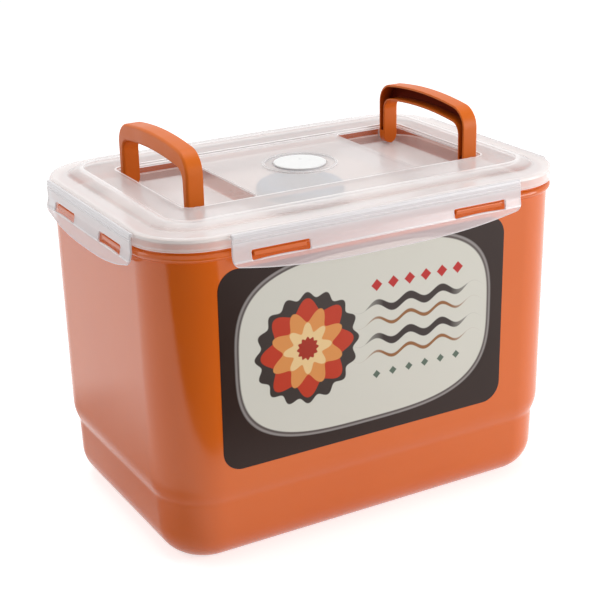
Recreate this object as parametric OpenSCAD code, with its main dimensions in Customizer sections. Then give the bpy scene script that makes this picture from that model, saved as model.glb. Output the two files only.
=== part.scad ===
// Storage tub with a clip lid, two fold-down lid handles and an inner press plate.
// The tub, the lid and every ring follow one rounded rectangle: a profile drawn as
// [distance outward from the core rectangle, height] is swept round that core.

/* [Tub] */
// Length over the walls at the rim
tub_len = 338; // [280:1:400]
// Width over the walls at the rim
tub_wid = 226; // [190:1:280]
// Corner radius of the outer wall at the rim
corner_r = 43; // [40:1:56]
// Height of the lip that the lid closes on
rim_z = 247; // [180:1:300]
// Wall thickness from the step down
wall = 2.2; // [1.8:0.1:3]
// Wall thickness at the rim, so that the inside stays almost upright for the press plate
rim_wall = 3.6; // [3:0.1:4]
// Floor thickness
floor_t = 3; // [2:0.1:5]
// How far the wall leans in from the rim to the step
upper_in = 1.6; // [0:0.1:3]
// Height of the crease between the upper and the lower part
step_z = 51.5; // [45:0.5:80]
// How far the wall curves in above the crease
step_in = 3.7; // [2:0.1:6]
// Height of that curve
step_rise = 16; // [8:0.5:24]
// How far the lower wall leans in from the crease to the base fillet
lower_in = 0.8; // [0:0.1:2]
// Radius of the fillet round the base
base_fillet = 26; // [14:0.5:30]
// Height of the bead round the rim
bead_h = 5.7; // [4:0.1:7]
// How far the bead stands out from the wall
bead_out = 2.6; // [1.5:0.1:2.7]

/* [Catches] */
// Length of a catch bar on the long sides
catch_len_long = 41; // [25:1:50]
// Length of a catch bar on the short sides
catch_len_short = 34; // [20:1:40]
// Place of a catch bar, as a share of half a long flap
catch_share_long = 0.69; // [0.5:0.01:0.75]
// Place of a catch bar, as a share of half a short flap
catch_share_short = 0.54; // [0.45:0.01:0.6]
// Height of a catch bar
catch_h = 3.6; // [2.5:0.1:4.5]
// Clearance between a catch bar's tip and the flap's lower lip
catch_clear = 0.45; // [0.35:0.05:0.8]

/* [Label] */
// Width of the label, as a share of the tub's length
label_share = 0.7; // [0.4:0.01:0.72]
// Corner radius of the label
label_r = 15; // [5:1:30]
// Sideways place of the label's middle
label_x = -10; // [-10:1:10]
// Height of the label's lower edge above the step's curve
label_low_gap = 9; // [3:0.5:15]
// Distance of the label's upper edge below the rim bead
label_top_gap = 8.7; // [5:0.1:30]
// Thickness of the label film
label_t = 0.3; // [0.2:0.05:0.6]

/* [Lid] */
// Thickness of the lid's walls
lid_wall = 2.2; // [1.6:0.1:3]
// Clearance between the lid's skirt and the tub lip
skirt_gap = 0.8; // [0.4:0.1:1.2]
// Height of the lid's skirt
skirt_h = 10; // [8:0.5:12]
// Radius of the skirt's top edge
edge_r = 3; // [2:0.5:4]
// Distance of the platform's top edge outside the core
plat_out = 21; // [16:0.5:25]
// Width of the slope from the platform down to the rim ledge
plat_slope = 11; // [6:0.5:12]
// Height of the platform above the rim ledge
plat_rise = 4.5; // [3:0.5:7]
// Depth of the lid's inner plug wall below the ledge
plug_h = 9; // [5:0.5:10]
// Clearance between plug wall and tub wall
plug_gap = 0.8; // [0.5:0.1:1.5]
// Width of the platform's border at its short ends
border_x = 21.5; // [15:0.5:30]
// Width of the platform's border along its long sides
border_y = 28; // [22:0.5:35]
// Corner radius of the recessed field inside the border
field_r = 8; // [3:0.5:9]
// Depth of the centre panel below the platform
panel_drop = 1.3; // [0.5:0.1:3]
// Depth of the handle pockets below the platform
pocket_depth = 14; // [13.5:0.5:16]
// Thickness of the lid gasket
gasket_t = 2.5; // [2:0.1:3.5]
// Gap between gasket and tub lip
seal_gap = 0.3; // [0.2:0.1:0.6]

/* [Flaps] */
// Length of a long flap, as a share of the lid's length
flap_share_long = 0.69; // [0.6:0.01:0.7]
// Length of a short flap, as a share of the lid's width
flap_share_short = 0.67; // [0.6:0.01:0.7]
// Thickness of a flap
flap_t = 1.8; // [1.4:0.1:2.2]
// Gap between a closed flap and the skirt
flap_gap = 0.35; // [0.3:0.05:0.6]
// Height of the flap below its slots, at its ends
flap_foot = 3.6; // [2.5:0.1:6]
// How far the middle of a flap hangs below its ends
flap_belly = 7.8; // [3:0.1:12]
// Corner radius at the lower ends of a flap
flap_corner = 6; // [2:0.5:8]
// How far the lower lip flares out
flap_lip_out = 2.7; // [2.4:0.1:4]
// Length of a slot beyond its catch bar, both ends together
slot_extra = 4; // [2:0.5:6]
// Radius of the hinge bead
hinge_r = 1.5; // [1.2:0.1:1.8]
// Running clearance round hinge beads and pins
pin_clear = 0.08; // [0.05:0.01:0.1]

/* [Handles] */
// Width of a handle along the lid
handle_w = 13; // [11:0.5:14]
// Thickness of a handle leg
leg_t = 7.5; // [6:0.5:9]
// Height of the grip above the pivot
handle_rise = 46.8; // [40:0.1:50]
// Height of the grip bar at its middle
grip_h = 13; // [10:0.5:15]
// Radius of the grip's outer corners
handle_corner = 16.5; // [16:0.5:24]
// How much the grip's top is crowned
grip_crown = 5.4; // [3:0.1:8]
// Wall thickness round the hollow side of a handle
handle_wall = 1.6; // [1.4:0.1:3]
// Gap between a leg and the pocket's end wall
leg_side_gap = 4.1; // [3:0.1:6]
// Radius of the pivot stubs
pivot_r = 3; // [2:0.1:3.4]

/* [Vent] */
// Radius of the white vent cap
vent_r = 20.1; // [15:0.1:23]
// Radius of the moulded ring round the vent cap
vent_ring_r = 28.9; // [26:0.1:34]
// How far the vent cap lifts
vent_lift = 2.5; // [1:0.1:3]

/* [Press plate] */
// Depth of the press plate's underside below the tub lip, at rest
plate_sink = 25; // [25:0.5:40]
// Height of the press plate's upturned rim
plate_h = 14; // [12:0.5:14]
// Thickness of the press plate
plate_t = 2.5; // [2:0.1:3.5]
// Clearance between the plate's gasket and the narrowest wall that it passes
plate_gap = 0.3; // [0.2:0.1:0.8]
// Radius of the blue-grey valve cap
valve_r = 33.6; // [25:0.1:36]
// Height of the valve cap
valve_h = 8; // [6:0.1:9]
// How far the valve cap lifts
valve_lift = 4.5; // [2:0.1:5]

/* [Hidden] */
$fn = 96;
eps = 0.01;

// Core rectangle, half lengths
core_x = tub_len / 2 - corner_r;
core_y = tub_wid / 2 - corner_r;

// Tub profile
r_rim = corner_r;
r_step_top = r_rim - upper_in;
r_crease = r_step_top - step_in;
r_low = r_crease - lower_in;
r_inside = min(r_step_top - wall, r_rim - rim_wall);
step_top_z = step_z + step_rise;
step_r = (step_rise * step_rise + step_in * step_in) / (2 * step_in);
step_a = asin(step_rise / step_r);
inner_fillet = base_fillet - wall;
lip_edge = 0.5;

// Lid heights
under_z = rim_z + seal_gap + gasket_t;
ledge_z = under_z + lid_wall;
skirt_z = ledge_z - skirt_h;
plat_z = ledge_z + plat_rise;
panel_z = plat_z - panel_drop;
panel_low = panel_z - lid_wall;
pocket_z = plat_z - pocket_depth;

// Lid profile and recessed field
r_skirt_in = r_rim + skirt_gap;
r_skirt = r_skirt_in + lid_wall;
plug_out = r_rim - rim_wall - plug_gap;
plug_in = plug_out - lid_wall;
plug_z = under_z - plug_h;
field_x = core_x + plat_out - border_x;
field_y = core_y + plat_out - border_y;
gasket_side = 0.1;

// Hinges and flaps
hinge_drop = 2.2;
hinge_stand = 0.6;
hinge_z = ledge_z - hinge_drop;
hinge_out = r_skirt + hinge_stand;
land_low = 3;
land_high = 1.6;
land_edge = 1;
flap_in = r_skirt + flap_gap;
flare_at_slot = 0.55;
flap_bend = flap_in + flap_lip_out * flare_at_slot;
flap_len_long = flap_share_long * 2 * (core_x + r_skirt);
flap_len_short = flap_share_short * 2 * (core_y + r_skirt);
belly_power = 2.7;

// Rim bead, catch bars and the slots round them
bead_gap = 2;
bead_r = bead_h / 2;
bead_z = skirt_z - bead_gap - bead_r;
bead_low = bead_z - bead_r;
bead_a = 80;
catch_drop = 1.9;
catch_z = bead_z - catch_drop;
catch_low = catch_z - catch_h / 2;
catch_high = catch_z + catch_h / 2;
catch_tip = flap_bend - catch_clear;
catch_nose = 0.8;
catch_pos_long = catch_share_long * flap_len_long / 2;
catch_pos_short = catch_share_short * flap_len_short / 2;
slot_above = 1.5;
slot_below = 2;
slot_top = catch_high + slot_above;
slot_low = catch_low - slot_below;
slot_r = 1.5;
flap_end_z = slot_low - flap_foot;
flap_mid_z = flap_end_z - flap_belly;

// Label
label_z = step_top_z + label_low_gap;
label_h = bead_low - label_top_gap - label_z;
label_w = label_share * tub_len;
label_off = 0.05;

// Handles
leg_r = handle_w / 2;
leg_floor_gap = 0.7;
leg_end_gap = 3.4;
fold_gap = 1.3;
pivot_z = pocket_z + leg_r + leg_floor_gap;
handle_x = field_x - leg_end_gap - leg_r;
handle_y = field_y - leg_side_gap;
handle_top = pivot_z + handle_rise;
pocket_in = handle_x - handle_rise - fold_gap;
pin_sink = 0.3;
pin_end_gap = 0.7;
pin_len = leg_side_gap + pin_sink;
boss_wall = 3;
boss_r = pivot_r + boss_wall;
boss_gap = 0.4;
boss_y = handle_y + boss_gap;
crown_r = handle_y * handle_y / (2 * grip_crown);
channel_up = 1;
channel_z = pivot_z + pivot_r + channel_up;

// Vent
vent_t = 1.6;
vent_edge = 0.6;
vent_seal_t = 0.8;
vent_seal_in = 4;
vent_sink = 1.2;
vent_side = 0.5;
vent_ring_w = 2;
vent_ring_h = 0.8;
vent_stem_r = 4;
vent_barb_r = 5.5;
vent_barb_h = 1.5;
vent_boss_h = 2.5;
vent_boss_out = 3;
vent_boss_r = vent_r + vent_boss_out;
stop_gap = 0.3;
vent_barb_z = panel_low - vent_boss_h - vent_lift - stop_gap;

// Press plate, from the gasket's lip inward, and its valve
plate_z = rim_z - plate_sink;
plate_top = plate_z + plate_h;
plate_rib_t = 3.4;
gasket_out = r_inside - plate_gap;
lip_reach = 2.3;
rib_out = 1.7;
plate_rib = gasket_out - lip_reach;
plate_wall = plate_rib - rib_out;
lip_t = 0.6;
lip_foot = 0.4;
valve_boss_h = 8.5;
valve_boss_z = plate_z + plate_t + valve_boss_h;
valve_boss_out = 3;
valve_boss_r = valve_r + valve_boss_out;
stem_r = 5;
stem_foot_r = 7;
stem_foot_h = 1.5;
valve_seal_r = 15;
valve_seal_t = 2;
valve_seal_z = plate_z - valve_lift - stop_gap - valve_seal_t;

// Colours
clay = [0.80, 0.38, 0.18];
frosted = [0.93, 0.90, 0.89, 0.55];
silicone = [0.86, 0.85, 0.82];
slate = [0.55, 0.62, 0.68];
umber = [0.30, 0.26, 0.25];

// Points on an arc, from one angle to another
function arc_points(cx, cy, r, from, to, n) =
    [for (i = [0:n]) let (a = from + (to - from) * i / n) [cx + r * cos(a), cy + r * sin(a)]];

// Outline of a rectangle with round corners, about the origin
function round_rect(w, h, r, n = 8) = concat(
    arc_points(w / 2 - r, h / 2 - r, r, 0, 90, n),
    arc_points(r - w / 2, h / 2 - r, r, 90, 180, n),
    arc_points(r - w / 2, r - h / 2, r, 180, 270, n),
    arc_points(w / 2 - r, r - h / 2, r, 270, 360, n));

// Outer wall distance at a height in the upper part
function wall_at(z) = r_rim - upper_in * (rim_z - z) / (rim_z - step_top_z);

// The slope from the platform to the ledge, as a half cosine, from its top or from its foot
function slope_point(t, high, low) =
    [plat_out + plat_slope * t, low + (high - low) * (1 + cos(180 * t)) / 2];
function slope_down(high, low) = [for (i = [0:8]) slope_point(i / 8, high, low)];
function slope_up(high, low) = [for (i = [8:-1:0]) slope_point(i / 8, high, low)];

// Sweeps a [distance, height] profile round the core rectangle
module sweep() {
    for (i = [0:3]) {
        sx = (i == 0 || i == 3) ? 1 : -1;
        sy = i < 2 ? 1 : -1;
        translate([sx * core_x, sy * core_y, 0]) rotate([0, 0, i * 90]) rotate_extrude(angle = 90) children();
    }
    for (s = [0, 180]) {
        rotate([0, 0, s]) translate([core_x, 0, 0]) rotate([90, 0, 0])
            linear_extrude(2 * core_y, center = true) children();
        rotate([0, 0, 90 + s]) translate([core_y, 0, 0]) rotate([90, 0, 0])
            linear_extrude(2 * core_x, center = true) children();
    }
}

// Fills the core rectangle between two heights
module core_fill(low, high) {
    translate([-core_x, -core_y, low]) cube([2 * core_x, 2 * core_y, high - low]);
}

// Turns a piece drawn for the front edge to one of the four sides, distances measured from the core
module on_side(turn) {
    reach = (turn == 0 || turn == 180) ? core_y : core_x;
    rotate([0, 0, turn]) translate([0, -reach, 0]) children();
}

// A bar along the front edge with a [distance, height] profile
module edge_bar(length) {
    rotate([90, 0, -90]) linear_extrude(length, center = true) children();
}

// Cuts an [along, height] outline through the front edge, from inside the wall to well outside it
module through_edge() {
    deep = 30;
    translate([0, -r_skirt + deep, 0]) rotate([90, 0, 0]) linear_extrude(2 * deep) children();
}

// One catch bar
module catch_bar(length) {
    root = r_rim - wall / 2;
    edge_bar(length) polygon([[root, catch_low - catch_nose], [catch_tip - catch_nose, catch_low],
        [catch_tip, catch_low + catch_nose], [catch_tip, catch_high - catch_nose],
        [catch_tip - catch_nose, catch_high], [root, catch_high]]);
}

module tub() {
    bead_x = r_rim + bead_out - bead_r;
    outer = concat([[0, 0]],
        arc_points(r_low - base_fillet, base_fillet, base_fillet, -90, 0, 8),
        arc_points(r_step_top - step_r, step_top_z, step_r, -step_a, 0, 5),
        [[wall_at(bead_low), bead_low]],
        arc_points(bead_x, bead_z, bead_r, -bead_a, bead_a, 8),
        [[r_rim, bead_z + bead_r], [r_rim, rim_z - lip_edge], [r_rim - lip_edge, rim_z]]);
    inner = concat([[r_rim - rim_wall + lip_edge, rim_z], [r_rim - rim_wall, rim_z - lip_edge]],
        arc_points(r_step_top - wall - step_r, step_top_z, step_r, 0, -step_a, 5),
        arc_points(r_low - base_fillet, floor_t + inner_fillet, inner_fillet, 0, -90, 8),
        [[0, floor_t]]);
    color(clay) {
        sweep() polygon(concat(outer, inner));
        core_fill(0, floor_t);
        for (turn = [0, 180]) {
            for (s = [-1, 1]) {
                on_side(turn) translate([s * catch_pos_long, 0, 0]) catch_bar(catch_len_long);
                on_side(turn + 90) translate([s * catch_pos_short, 0, 0]) catch_bar(catch_len_short);
            }
        }
    }
}

module front_label() {
    top_z = label_z + label_h;
    low_r = wall_at(label_z) + label_off;
    top_r = wall_at(top_z) + label_off;
    color(umber) intersection() {
        sweep() polygon([[low_r, label_z], [low_r + label_t, label_z],
            [top_r + label_t, top_z], [top_r, top_z]]);
        on_side(0) through_edge() translate([label_x, label_z + label_h / 2])
            polygon(round_rect(label_w, label_h, label_r));
    }
}

// A block with round upright corners between two heights
module field_block(x_low, x_high, half_y, r, low, high) {
    translate([(x_low + x_high) / 2, 0, low]) linear_extrude(high - low)
        polygon(round_rect(x_high - x_low, 2 * half_y, r));
}

// The straight land on the skirt that a flap's hinge bead lies in
module hinge_land(length) {
    edge_bar(length) polygon([[r_skirt_in, hinge_z - land_low], [r_skirt, hinge_z - land_low],
        [r_skirt, hinge_z + land_high - land_edge], [r_skirt - land_edge, hinge_z + land_high],
        [r_skirt_in, hinge_z + land_high]]);
}

// A round bar on a flap's hinge axis
module hinge_bead(length, r) {
    translate([0, -hinge_out, hinge_z]) rotate([0, 90, 0]) cylinder(r = r, h = length, center = true);
}

// Puts a bar that points outward along Y on each of the four handle pivots
module at_pivots(from_y) {
    for (sx = [-1, 1]) for (turn = [0, 180])
        rotate([0, 0, turn]) translate([sx * handle_x, -from_y, pivot_z]) rotate([90, 0, 0]) children();
}

// The lid's outer form, before anything is cut into it
module lid_form() {
    sweep() polygon(concat([[0, plat_z]], slope_down(plat_z, ledge_z),
        arc_points(r_skirt - edge_r, ledge_z - edge_r, edge_r, 90, 0, 6),
        [[r_skirt, skirt_z], [r_skirt_in, skirt_z], [r_skirt_in, under_z], [plug_out, under_z],
            [plug_out, plug_z], [plug_in, plug_z], [plug_in, under_z]],
        slope_up(plat_z - lid_wall, under_z), [[0, plat_z - lid_wall]]));
    core_fill(plat_z - lid_wall, plat_z);
    for (s = [0, 180]) rotate([0, 0, s])
        field_block(pocket_in - lid_wall, field_x + lid_wall, field_y + lid_wall, field_r + lid_wall,
            pocket_z - lid_wall, plat_z);
    translate([-pocket_in, -field_y - lid_wall, panel_low])
        cube([2 * pocket_in, 2 * (field_y + lid_wall), plat_z - panel_low]);
    translate([0, 0, panel_low - vent_boss_h]) cylinder(r = vent_boss_r, h = vent_boss_h + eps);
    for (turn = [0, 180]) {
        on_side(turn) hinge_land(flap_len_long);
        on_side(turn + 90) hinge_land(flap_len_short);
    }
}

module lid_shell() {
    over = 2;
    color(frosted) difference() {
        union() {
            difference() {
                lid_form();
                for (s = [0, 180]) rotate([0, 0, s])
                    field_block(pocket_in, field_x, field_y, field_r, pocket_z, plat_z + over);
                translate([-pocket_in - field_r, -field_y, panel_z])
                    cube([2 * (pocket_in + field_r), 2 * field_y, panel_drop + over]);
                translate([0, 0, panel_z - vent_sink]) cylinder(r = vent_r + vent_side, h = vent_sink + over);
                translate([0, 0, panel_low - vent_boss_h - over])
                    cylinder(r = vent_stem_r + pin_clear, h = lid_wall + vent_boss_h + 2 * over);
            }
            at_pivots(boss_y) cylinder(r = boss_r, h = field_y - boss_y + eps);
            translate([0, 0, panel_z - eps]) difference() {
                cylinder(r = vent_ring_r, h = vent_ring_h);
                translate([0, 0, -over]) cylinder(r = vent_ring_r - vent_ring_w, h = vent_ring_h + 2 * over);
            }
        }
        at_pivots(boss_y - over)
            cylinder(r = pivot_r + pin_clear, h = over - boss_gap + pin_len + pin_end_gap);
        for (turn = [0, 180]) {
            on_side(turn) hinge_bead(flap_len_long + over, hinge_r + pin_clear);
            on_side(turn + 90) hinge_bead(flap_len_short + over, hinge_r + pin_clear);
        }
    }
}

module lid_gasket() {
    near = plug_out + gasket_side;
    far = r_skirt_in - gasket_side;
    low = under_z - gasket_t;
    color(silicone) sweep() polygon([[near, low], [far, low], [far, under_z], [near, under_z]]);
}

// One flap, drawn for the front edge
module flap(length, slot_pos, slot_len) {
    half = length / 2;
    straight = half - flap_corner;
    over = 1;
    lip_out = flap_in + flap_lip_out;
    belly = [for (i = [-10:10]) let (t = i / 10)
        [t * straight, flap_end_z - flap_belly * (1 - pow(abs(t), belly_power))]];
    color(frosted) difference() {
        intersection() {
            union() {
                edge_bar(length) polygon([[flap_in, hinge_z], [flap_in, slot_top], [flap_bend, slot_low],
                    [lip_out, flap_mid_z - over], [lip_out + flap_t, flap_mid_z - over],
                    [flap_bend + flap_t, slot_low], [flap_in + flap_t, slot_top],
                    [flap_in + flap_t, hinge_z]]);
                hinge_bead(length, hinge_r);
            }
            through_edge() polygon(concat([[half, hinge_z + 2 * hinge_r], [-half, hinge_z + 2 * hinge_r]],
                arc_points(-straight, flap_end_z + flap_corner, flap_corner, 180, 255, 5), belly,
                arc_points(straight, flap_end_z + flap_corner, flap_corner, 285, 360, 5)));
        }
        for (s = [-1, 1])
            through_edge() translate([s * slot_pos, (slot_top + slot_low) / 2])
                polygon(round_rect(slot_len, slot_top - slot_low, slot_r, 5));
    }
}

module flap_front() {
    on_side(0) flap(flap_len_long, catch_pos_long, catch_len_long + slot_extra);
}

module flap_back() {
    on_side(180) flap(flap_len_long, catch_pos_long, catch_len_long + slot_extra);
}

module flap_left() {
    on_side(-90) flap(flap_len_short, catch_pos_short, catch_len_short + slot_extra);
}

module flap_right() {
    on_side(90) flap(flap_len_short, catch_pos_short, catch_len_short + slot_extra);
}

// An arch in [across, height] with a crowned top and round corners, open at its foot
function arch(half, top, rc, crown, foot) =
    let (mid = top - crown, cy = half - rc, cz = mid + sqrt((crown - rc) * (crown - rc) - cy * cy),
        lean = atan2(cz - mid, cy))
    concat([[half, foot]], arc_points(cy, cz, rc, 0, lean, 8), arc_points(0, mid, crown, lean, 180 - lean, 8),
        arc_points(-cy, cz, rc, 180 - lean, 180, 8), [[-half, foot]]);

// The handle's outline set in by some distance, and the finger gap grown by some distance
function grip(set_in, foot) =
    arch(handle_y - set_in, handle_top - set_in, handle_corner - set_in, crown_r - set_in, foot);
function finger_gap(grow, foot) =
    arch(handle_y - leg_t + grow, handle_top - grip_h + grow, handle_corner - leg_t + grow, crown_r, foot);

// Extrudes an [across, height] outline along X
module along_x(from, to) {
    translate([from, 0, 0]) rotate([90, 0, 90]) linear_extrude(to - from) children();
}

// The handle at the right end, hollow side inboard
module handle() {
    over = 1;
    color(clay) translate([handle_x, 0, 0]) {
        difference() {
            along_x(-leg_r, leg_r) polygon(grip(0, pivot_z));
            along_x(-leg_r - over, leg_r + over) polygon(finger_gap(0, pivot_z - over));
            difference() {
                along_x(-leg_r - over, leg_r - handle_wall) polygon(grip(handle_wall, channel_z));
                along_x(-leg_r - 2 * over, leg_r) polygon(finger_gap(handle_wall, channel_z - over));
            }
        }
        for (turn = [0, 180]) rotate([0, 0, turn]) translate([0, -handle_y, pivot_z]) rotate([90, 0, 0]) {
            translate([0, 0, -leg_t]) cylinder(r = leg_r, h = leg_t);
            translate([0, 0, -pin_sink]) cylinder(r = pivot_r, h = pin_sink + pin_len);
        }
    }
}

module handle_left() {
    rotate([0, 0, 180]) handle();
}

module handle_right() {
    handle();
}

module vent_cap() {
    low = panel_z - vent_sink + vent_seal_t;
    high = low + vent_t;
    foot = vent_barb_z - vent_barb_h;
    color("white") rotate_extrude() polygon([[0, foot], [vent_stem_r, foot],
        [vent_barb_r, vent_barb_z - vent_edge], [vent_barb_r, vent_barb_z], [vent_stem_r, vent_barb_z],
        [vent_stem_r, low], [vent_r, low], [vent_r, high - vent_edge],
        [vent_r - vent_edge, high], [0, high]]);
}

// A flat washer standing on a height
module washer(outer, inner, low, thick) {
    over = 1;
    color(silicone) translate([0, 0, low]) difference() {
        cylinder(r = outer, h = thick);
        translate([0, 0, -over]) cylinder(r = inner, h = thick + 2 * over);
    }
}

module vent_seal() {
    washer(vent_r - vent_seal_in, vent_stem_r + gasket_side, panel_z - vent_sink, vent_seal_t);
}

module press_plate() {
    over = 1;
    flat_z = plate_z + plate_t;
    inner = plate_wall - plate_t;
    color(frosted) difference() {
        union() {
            sweep() polygon([[0, plate_z], [plate_rib, plate_z], [plate_rib, plate_z + plate_rib_t],
                [plate_wall, plate_z + plate_rib_t], [plate_wall, plate_top - plate_rib_t],
                [plate_rib, plate_top - plate_rib_t], [plate_rib, plate_top], [inner, plate_top],
                [inner, flat_z], [0, flat_z]]);
            core_fill(plate_z, flat_z);
            translate([0, 0, flat_z - eps]) cylinder(r = valve_boss_r, h = valve_boss_h + eps);
        }
        translate([0, 0, plate_z - over])
            cylinder(r = stem_r + pin_clear, h = valve_boss_z - plate_z + 2 * over);
    }
}

module press_gasket() {
    near = plate_wall + gasket_side;
    low = plate_z + plate_rib_t + gasket_side;
    high = plate_top - plate_rib_t - gasket_side;
    mid = (low + high) / 2;
    color(silicone) sweep() polygon([[near, low], [plate_rib + lip_foot, low], [gasket_out, mid],
        [gasket_out - lip_t, mid + lip_t], [plate_rib, mid - lip_t], [plate_rib, high], [near, high]]);
}

module valve_cap() {
    top = valve_boss_z + valve_h;
    soft = valve_h / 2;
    foot = valve_seal_z - stem_foot_h;
    color(slate) rotate_extrude() polygon(concat([[0, foot], [stem_foot_r, foot], [stem_foot_r, valve_seal_z],
        [stem_r, valve_seal_z], [stem_r, valve_boss_z], [valve_r, valve_boss_z]],
        arc_points(valve_r - soft, top - soft, soft, 0, 90, 6), [[0, top]]));
}

module valve_seal() {
    washer(valve_seal_r, stem_r + gasket_side, valve_seal_z, valve_seal_t);
}

tub();
front_label();
lid_shell();
lid_gasket();
vent_cap();
vent_seal();
flap_front();
flap_back();
flap_left();
flap_right();
handle_left();
handle_right();
press_plate();
press_gasket();
valve_cap();
valve_seal();
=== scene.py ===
# %% [markdown]
# A lidded food keeper, dressed for the camera.
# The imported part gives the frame: every piece here keeps the place and the size that the part gives it.
# The shells are then made again with rounded edges, grooves and finishes that a solid model leaves out.
# Sizes in this file are millimetres until a mesh is made, because the pieces were drawn in millimetres.

import math

import bmesh
import bpy
from mathutils import Matrix, Vector


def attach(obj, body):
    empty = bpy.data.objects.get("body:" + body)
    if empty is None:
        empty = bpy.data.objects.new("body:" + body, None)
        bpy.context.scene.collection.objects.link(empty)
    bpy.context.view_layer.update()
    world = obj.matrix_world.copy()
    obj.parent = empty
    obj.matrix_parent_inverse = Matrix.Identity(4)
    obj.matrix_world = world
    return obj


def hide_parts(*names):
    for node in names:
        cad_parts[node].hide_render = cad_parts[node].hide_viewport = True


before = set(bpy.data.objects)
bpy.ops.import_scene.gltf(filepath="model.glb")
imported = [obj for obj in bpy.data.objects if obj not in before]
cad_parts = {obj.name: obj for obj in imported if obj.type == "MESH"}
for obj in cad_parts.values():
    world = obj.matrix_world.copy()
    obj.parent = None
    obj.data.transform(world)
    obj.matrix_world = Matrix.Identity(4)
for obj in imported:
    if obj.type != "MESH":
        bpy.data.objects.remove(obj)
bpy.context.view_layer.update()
MM = 0.001

# %% [markdown]
# The keeper is a rounded box, so nearly every level of it is one loop: a core rectangle grown outwards.
# A height and a distance from that core are enough to draw the tub, the lid, the seals and the press plate.
# The values below are the ones that several pieces share, and each piece adds its own where it is made.

# %% Sizes that several pieces share
CORE_X = 126.0
CORE_Y = 70.0
RIM_OUT = 43.0
HINGE_OUT = 46.6
HINGE_Z = 249.8
CORNER_STEPS = 24
SIDES = {"front": 0, "right": 90, "back": 180, "left": 270}
FLAP_LENGTH = {"front": 237.4, "back": 237.4, "left": 155.4, "right": 155.4}
CATCH_PLACE = {"front": 81.9, "back": 81.9, "left": 42.0, "right": 42.0}
CATCH_LENGTH = {"front": 41.0, "back": 41.0, "left": 34.0, "right": 34.0}
print("tub at the rim:", 2 * (CORE_X + RIM_OUT), "by", 2 * (CORE_Y + RIM_OUT), "mm")

# %% [markdown]
# A few small helpers do all the drawing.
# An arc gives the round stretches of an outline, and a circle gives one level loop. Fillets are drawn as
# real geometry, because thin highlights along edges are what makes moulded plastic look moulded.

# %% Outline helpers
CIRCLE_STEPS = 96


def arc(centre, radius, start, stop, steps):
    """Points on an arc, angles in degrees."""
    points = []
    for i in range(steps + 1):
        a = math.radians(start + (stop - start) * i / steps)
        points.append((centre[0] + radius * math.cos(a), centre[1] + radius * math.sin(a)))
    return points


def round_rectangle(low, high, radius, steps):
    """Outline of a rectangle with round corners, anticlockwise from its right edge."""
    right = high[0] - radius
    left = low[0] + radius
    top = high[1] - radius
    bottom = low[1] + radius
    points = []
    for turn, centre in enumerate(((right, top), (left, top), (left, bottom), (right, bottom))):
        points += arc(centre, radius, 90 * turn, 90 * turn + 90, steps)
    return points


def circle(radius, z):
    """One level loop round the upright axis."""
    return [(x, y, z) for x, y in arc((0, 0), radius, 0, 360, CIRCLE_STEPS)[:-1]]


print("a quarter arc of four steps:", [(round(x, 2), round(y, 2)) for x, y in arc((0, 0), 1, 0, 90, 4)])

# %% [markdown]
# A loft joins loops one after another with bands of faces, as planks join the frames of a hull. A flat
# region with holes in it is filled with triangles. Blender's own bridge tool would join loops too, but it
# picks the matching corners itself, and here every loop already starts at the same corner.

# %% Loft helpers
def add_loop(bm, points):
    """Adds points, given in millimetres, as vertices in metres."""
    return [bm.verts.new(Vector(p) * MM) for p in points]


def bridge(bm, first, second):
    """Joins two closed loops of equal length with a band of faces."""
    count = len(first)
    for i in range(count):
        j = (i + 1) % count
        bm.faces.new((first[i], first[j], second[j], second[i]))


def loft(bm, loops, cap_first=False, cap_last=False):
    """Joins closed loops of points one after another, and returns their vertices."""
    made = [add_loop(bm, points) for points in loops]
    for first, second in zip(made, made[1:]):
        bridge(bm, first, second)
    if cap_first:
        bm.faces.new(list(reversed(made[0])))
    if cap_last:
        bm.faces.new(made[-1])
    return made


def loop_edges(bm, verts):
    """The edges of a closed loop of vertices, made where they are missing."""
    edges = []
    for i, vert in enumerate(verts):
        pair = (vert, verts[(i + 1) % len(verts)])
        edges.append(bm.edges.get(pair) or bm.edges.new(pair))
    return edges


def fill_between(bm, loops):
    """Fills a flat region bounded by an outer loop and by holes."""
    edges = [edge for verts in loops for edge in loop_edges(bm, verts)]
    bmesh.ops.triangle_fill(bm, use_beauty=True, edges=edges)


def turned(bm, degrees):
    """Turns everything about the upright axis."""
    turn = Matrix.Rotation(math.radians(degrees), 3, "Z")
    bmesh.ops.rotate(bm, cent=(0, 0, 0), matrix=turn, verts=bm.verts)


print("a millimetre of outline becomes", MM, "m of mesh")

# %% [markdown]
# A finished piece is one mesh at the origin that rides on a body and stands for its solid.
# Faces are shaded smooth, edges over a set angle stay crisp, and normals are weighted by face area. The
# weighting keeps wide flat faces flat next to narrow fillets, as they are on a moulding from a steel tool.

# %% From outline to object
CRISP_ANGLE = 38.0
MERGE = 0.002


def as_object(name, bm, outward=True):
    """Merges doubles, turns faces outwards and makes an object."""
    bmesh.ops.remove_doubles(bm, verts=bm.verts, dist=MERGE * MM)
    if outward:
        bmesh.ops.recalc_face_normals(bm, faces=bm.faces)
    mesh = bpy.data.meshes.new(name)
    bm.to_mesh(mesh)
    bm.free()
    obj = bpy.data.objects.new(name, mesh)
    bpy.context.scene.collection.objects.link(obj)
    return obj


def settle(obj):
    """Turns the modifiers of an object into a plain mesh."""
    bpy.context.view_layer.update()
    graph = bpy.context.evaluated_depsgraph_get()
    evaluated = obj.evaluated_get(graph)
    mesh = bpy.data.meshes.new_from_object(evaluated, preserve_all_data_layers=True, depsgraph=graph)
    obj.modifiers.clear()
    obj.data = mesh
    mesh.name = obj.name
    return obj


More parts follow.
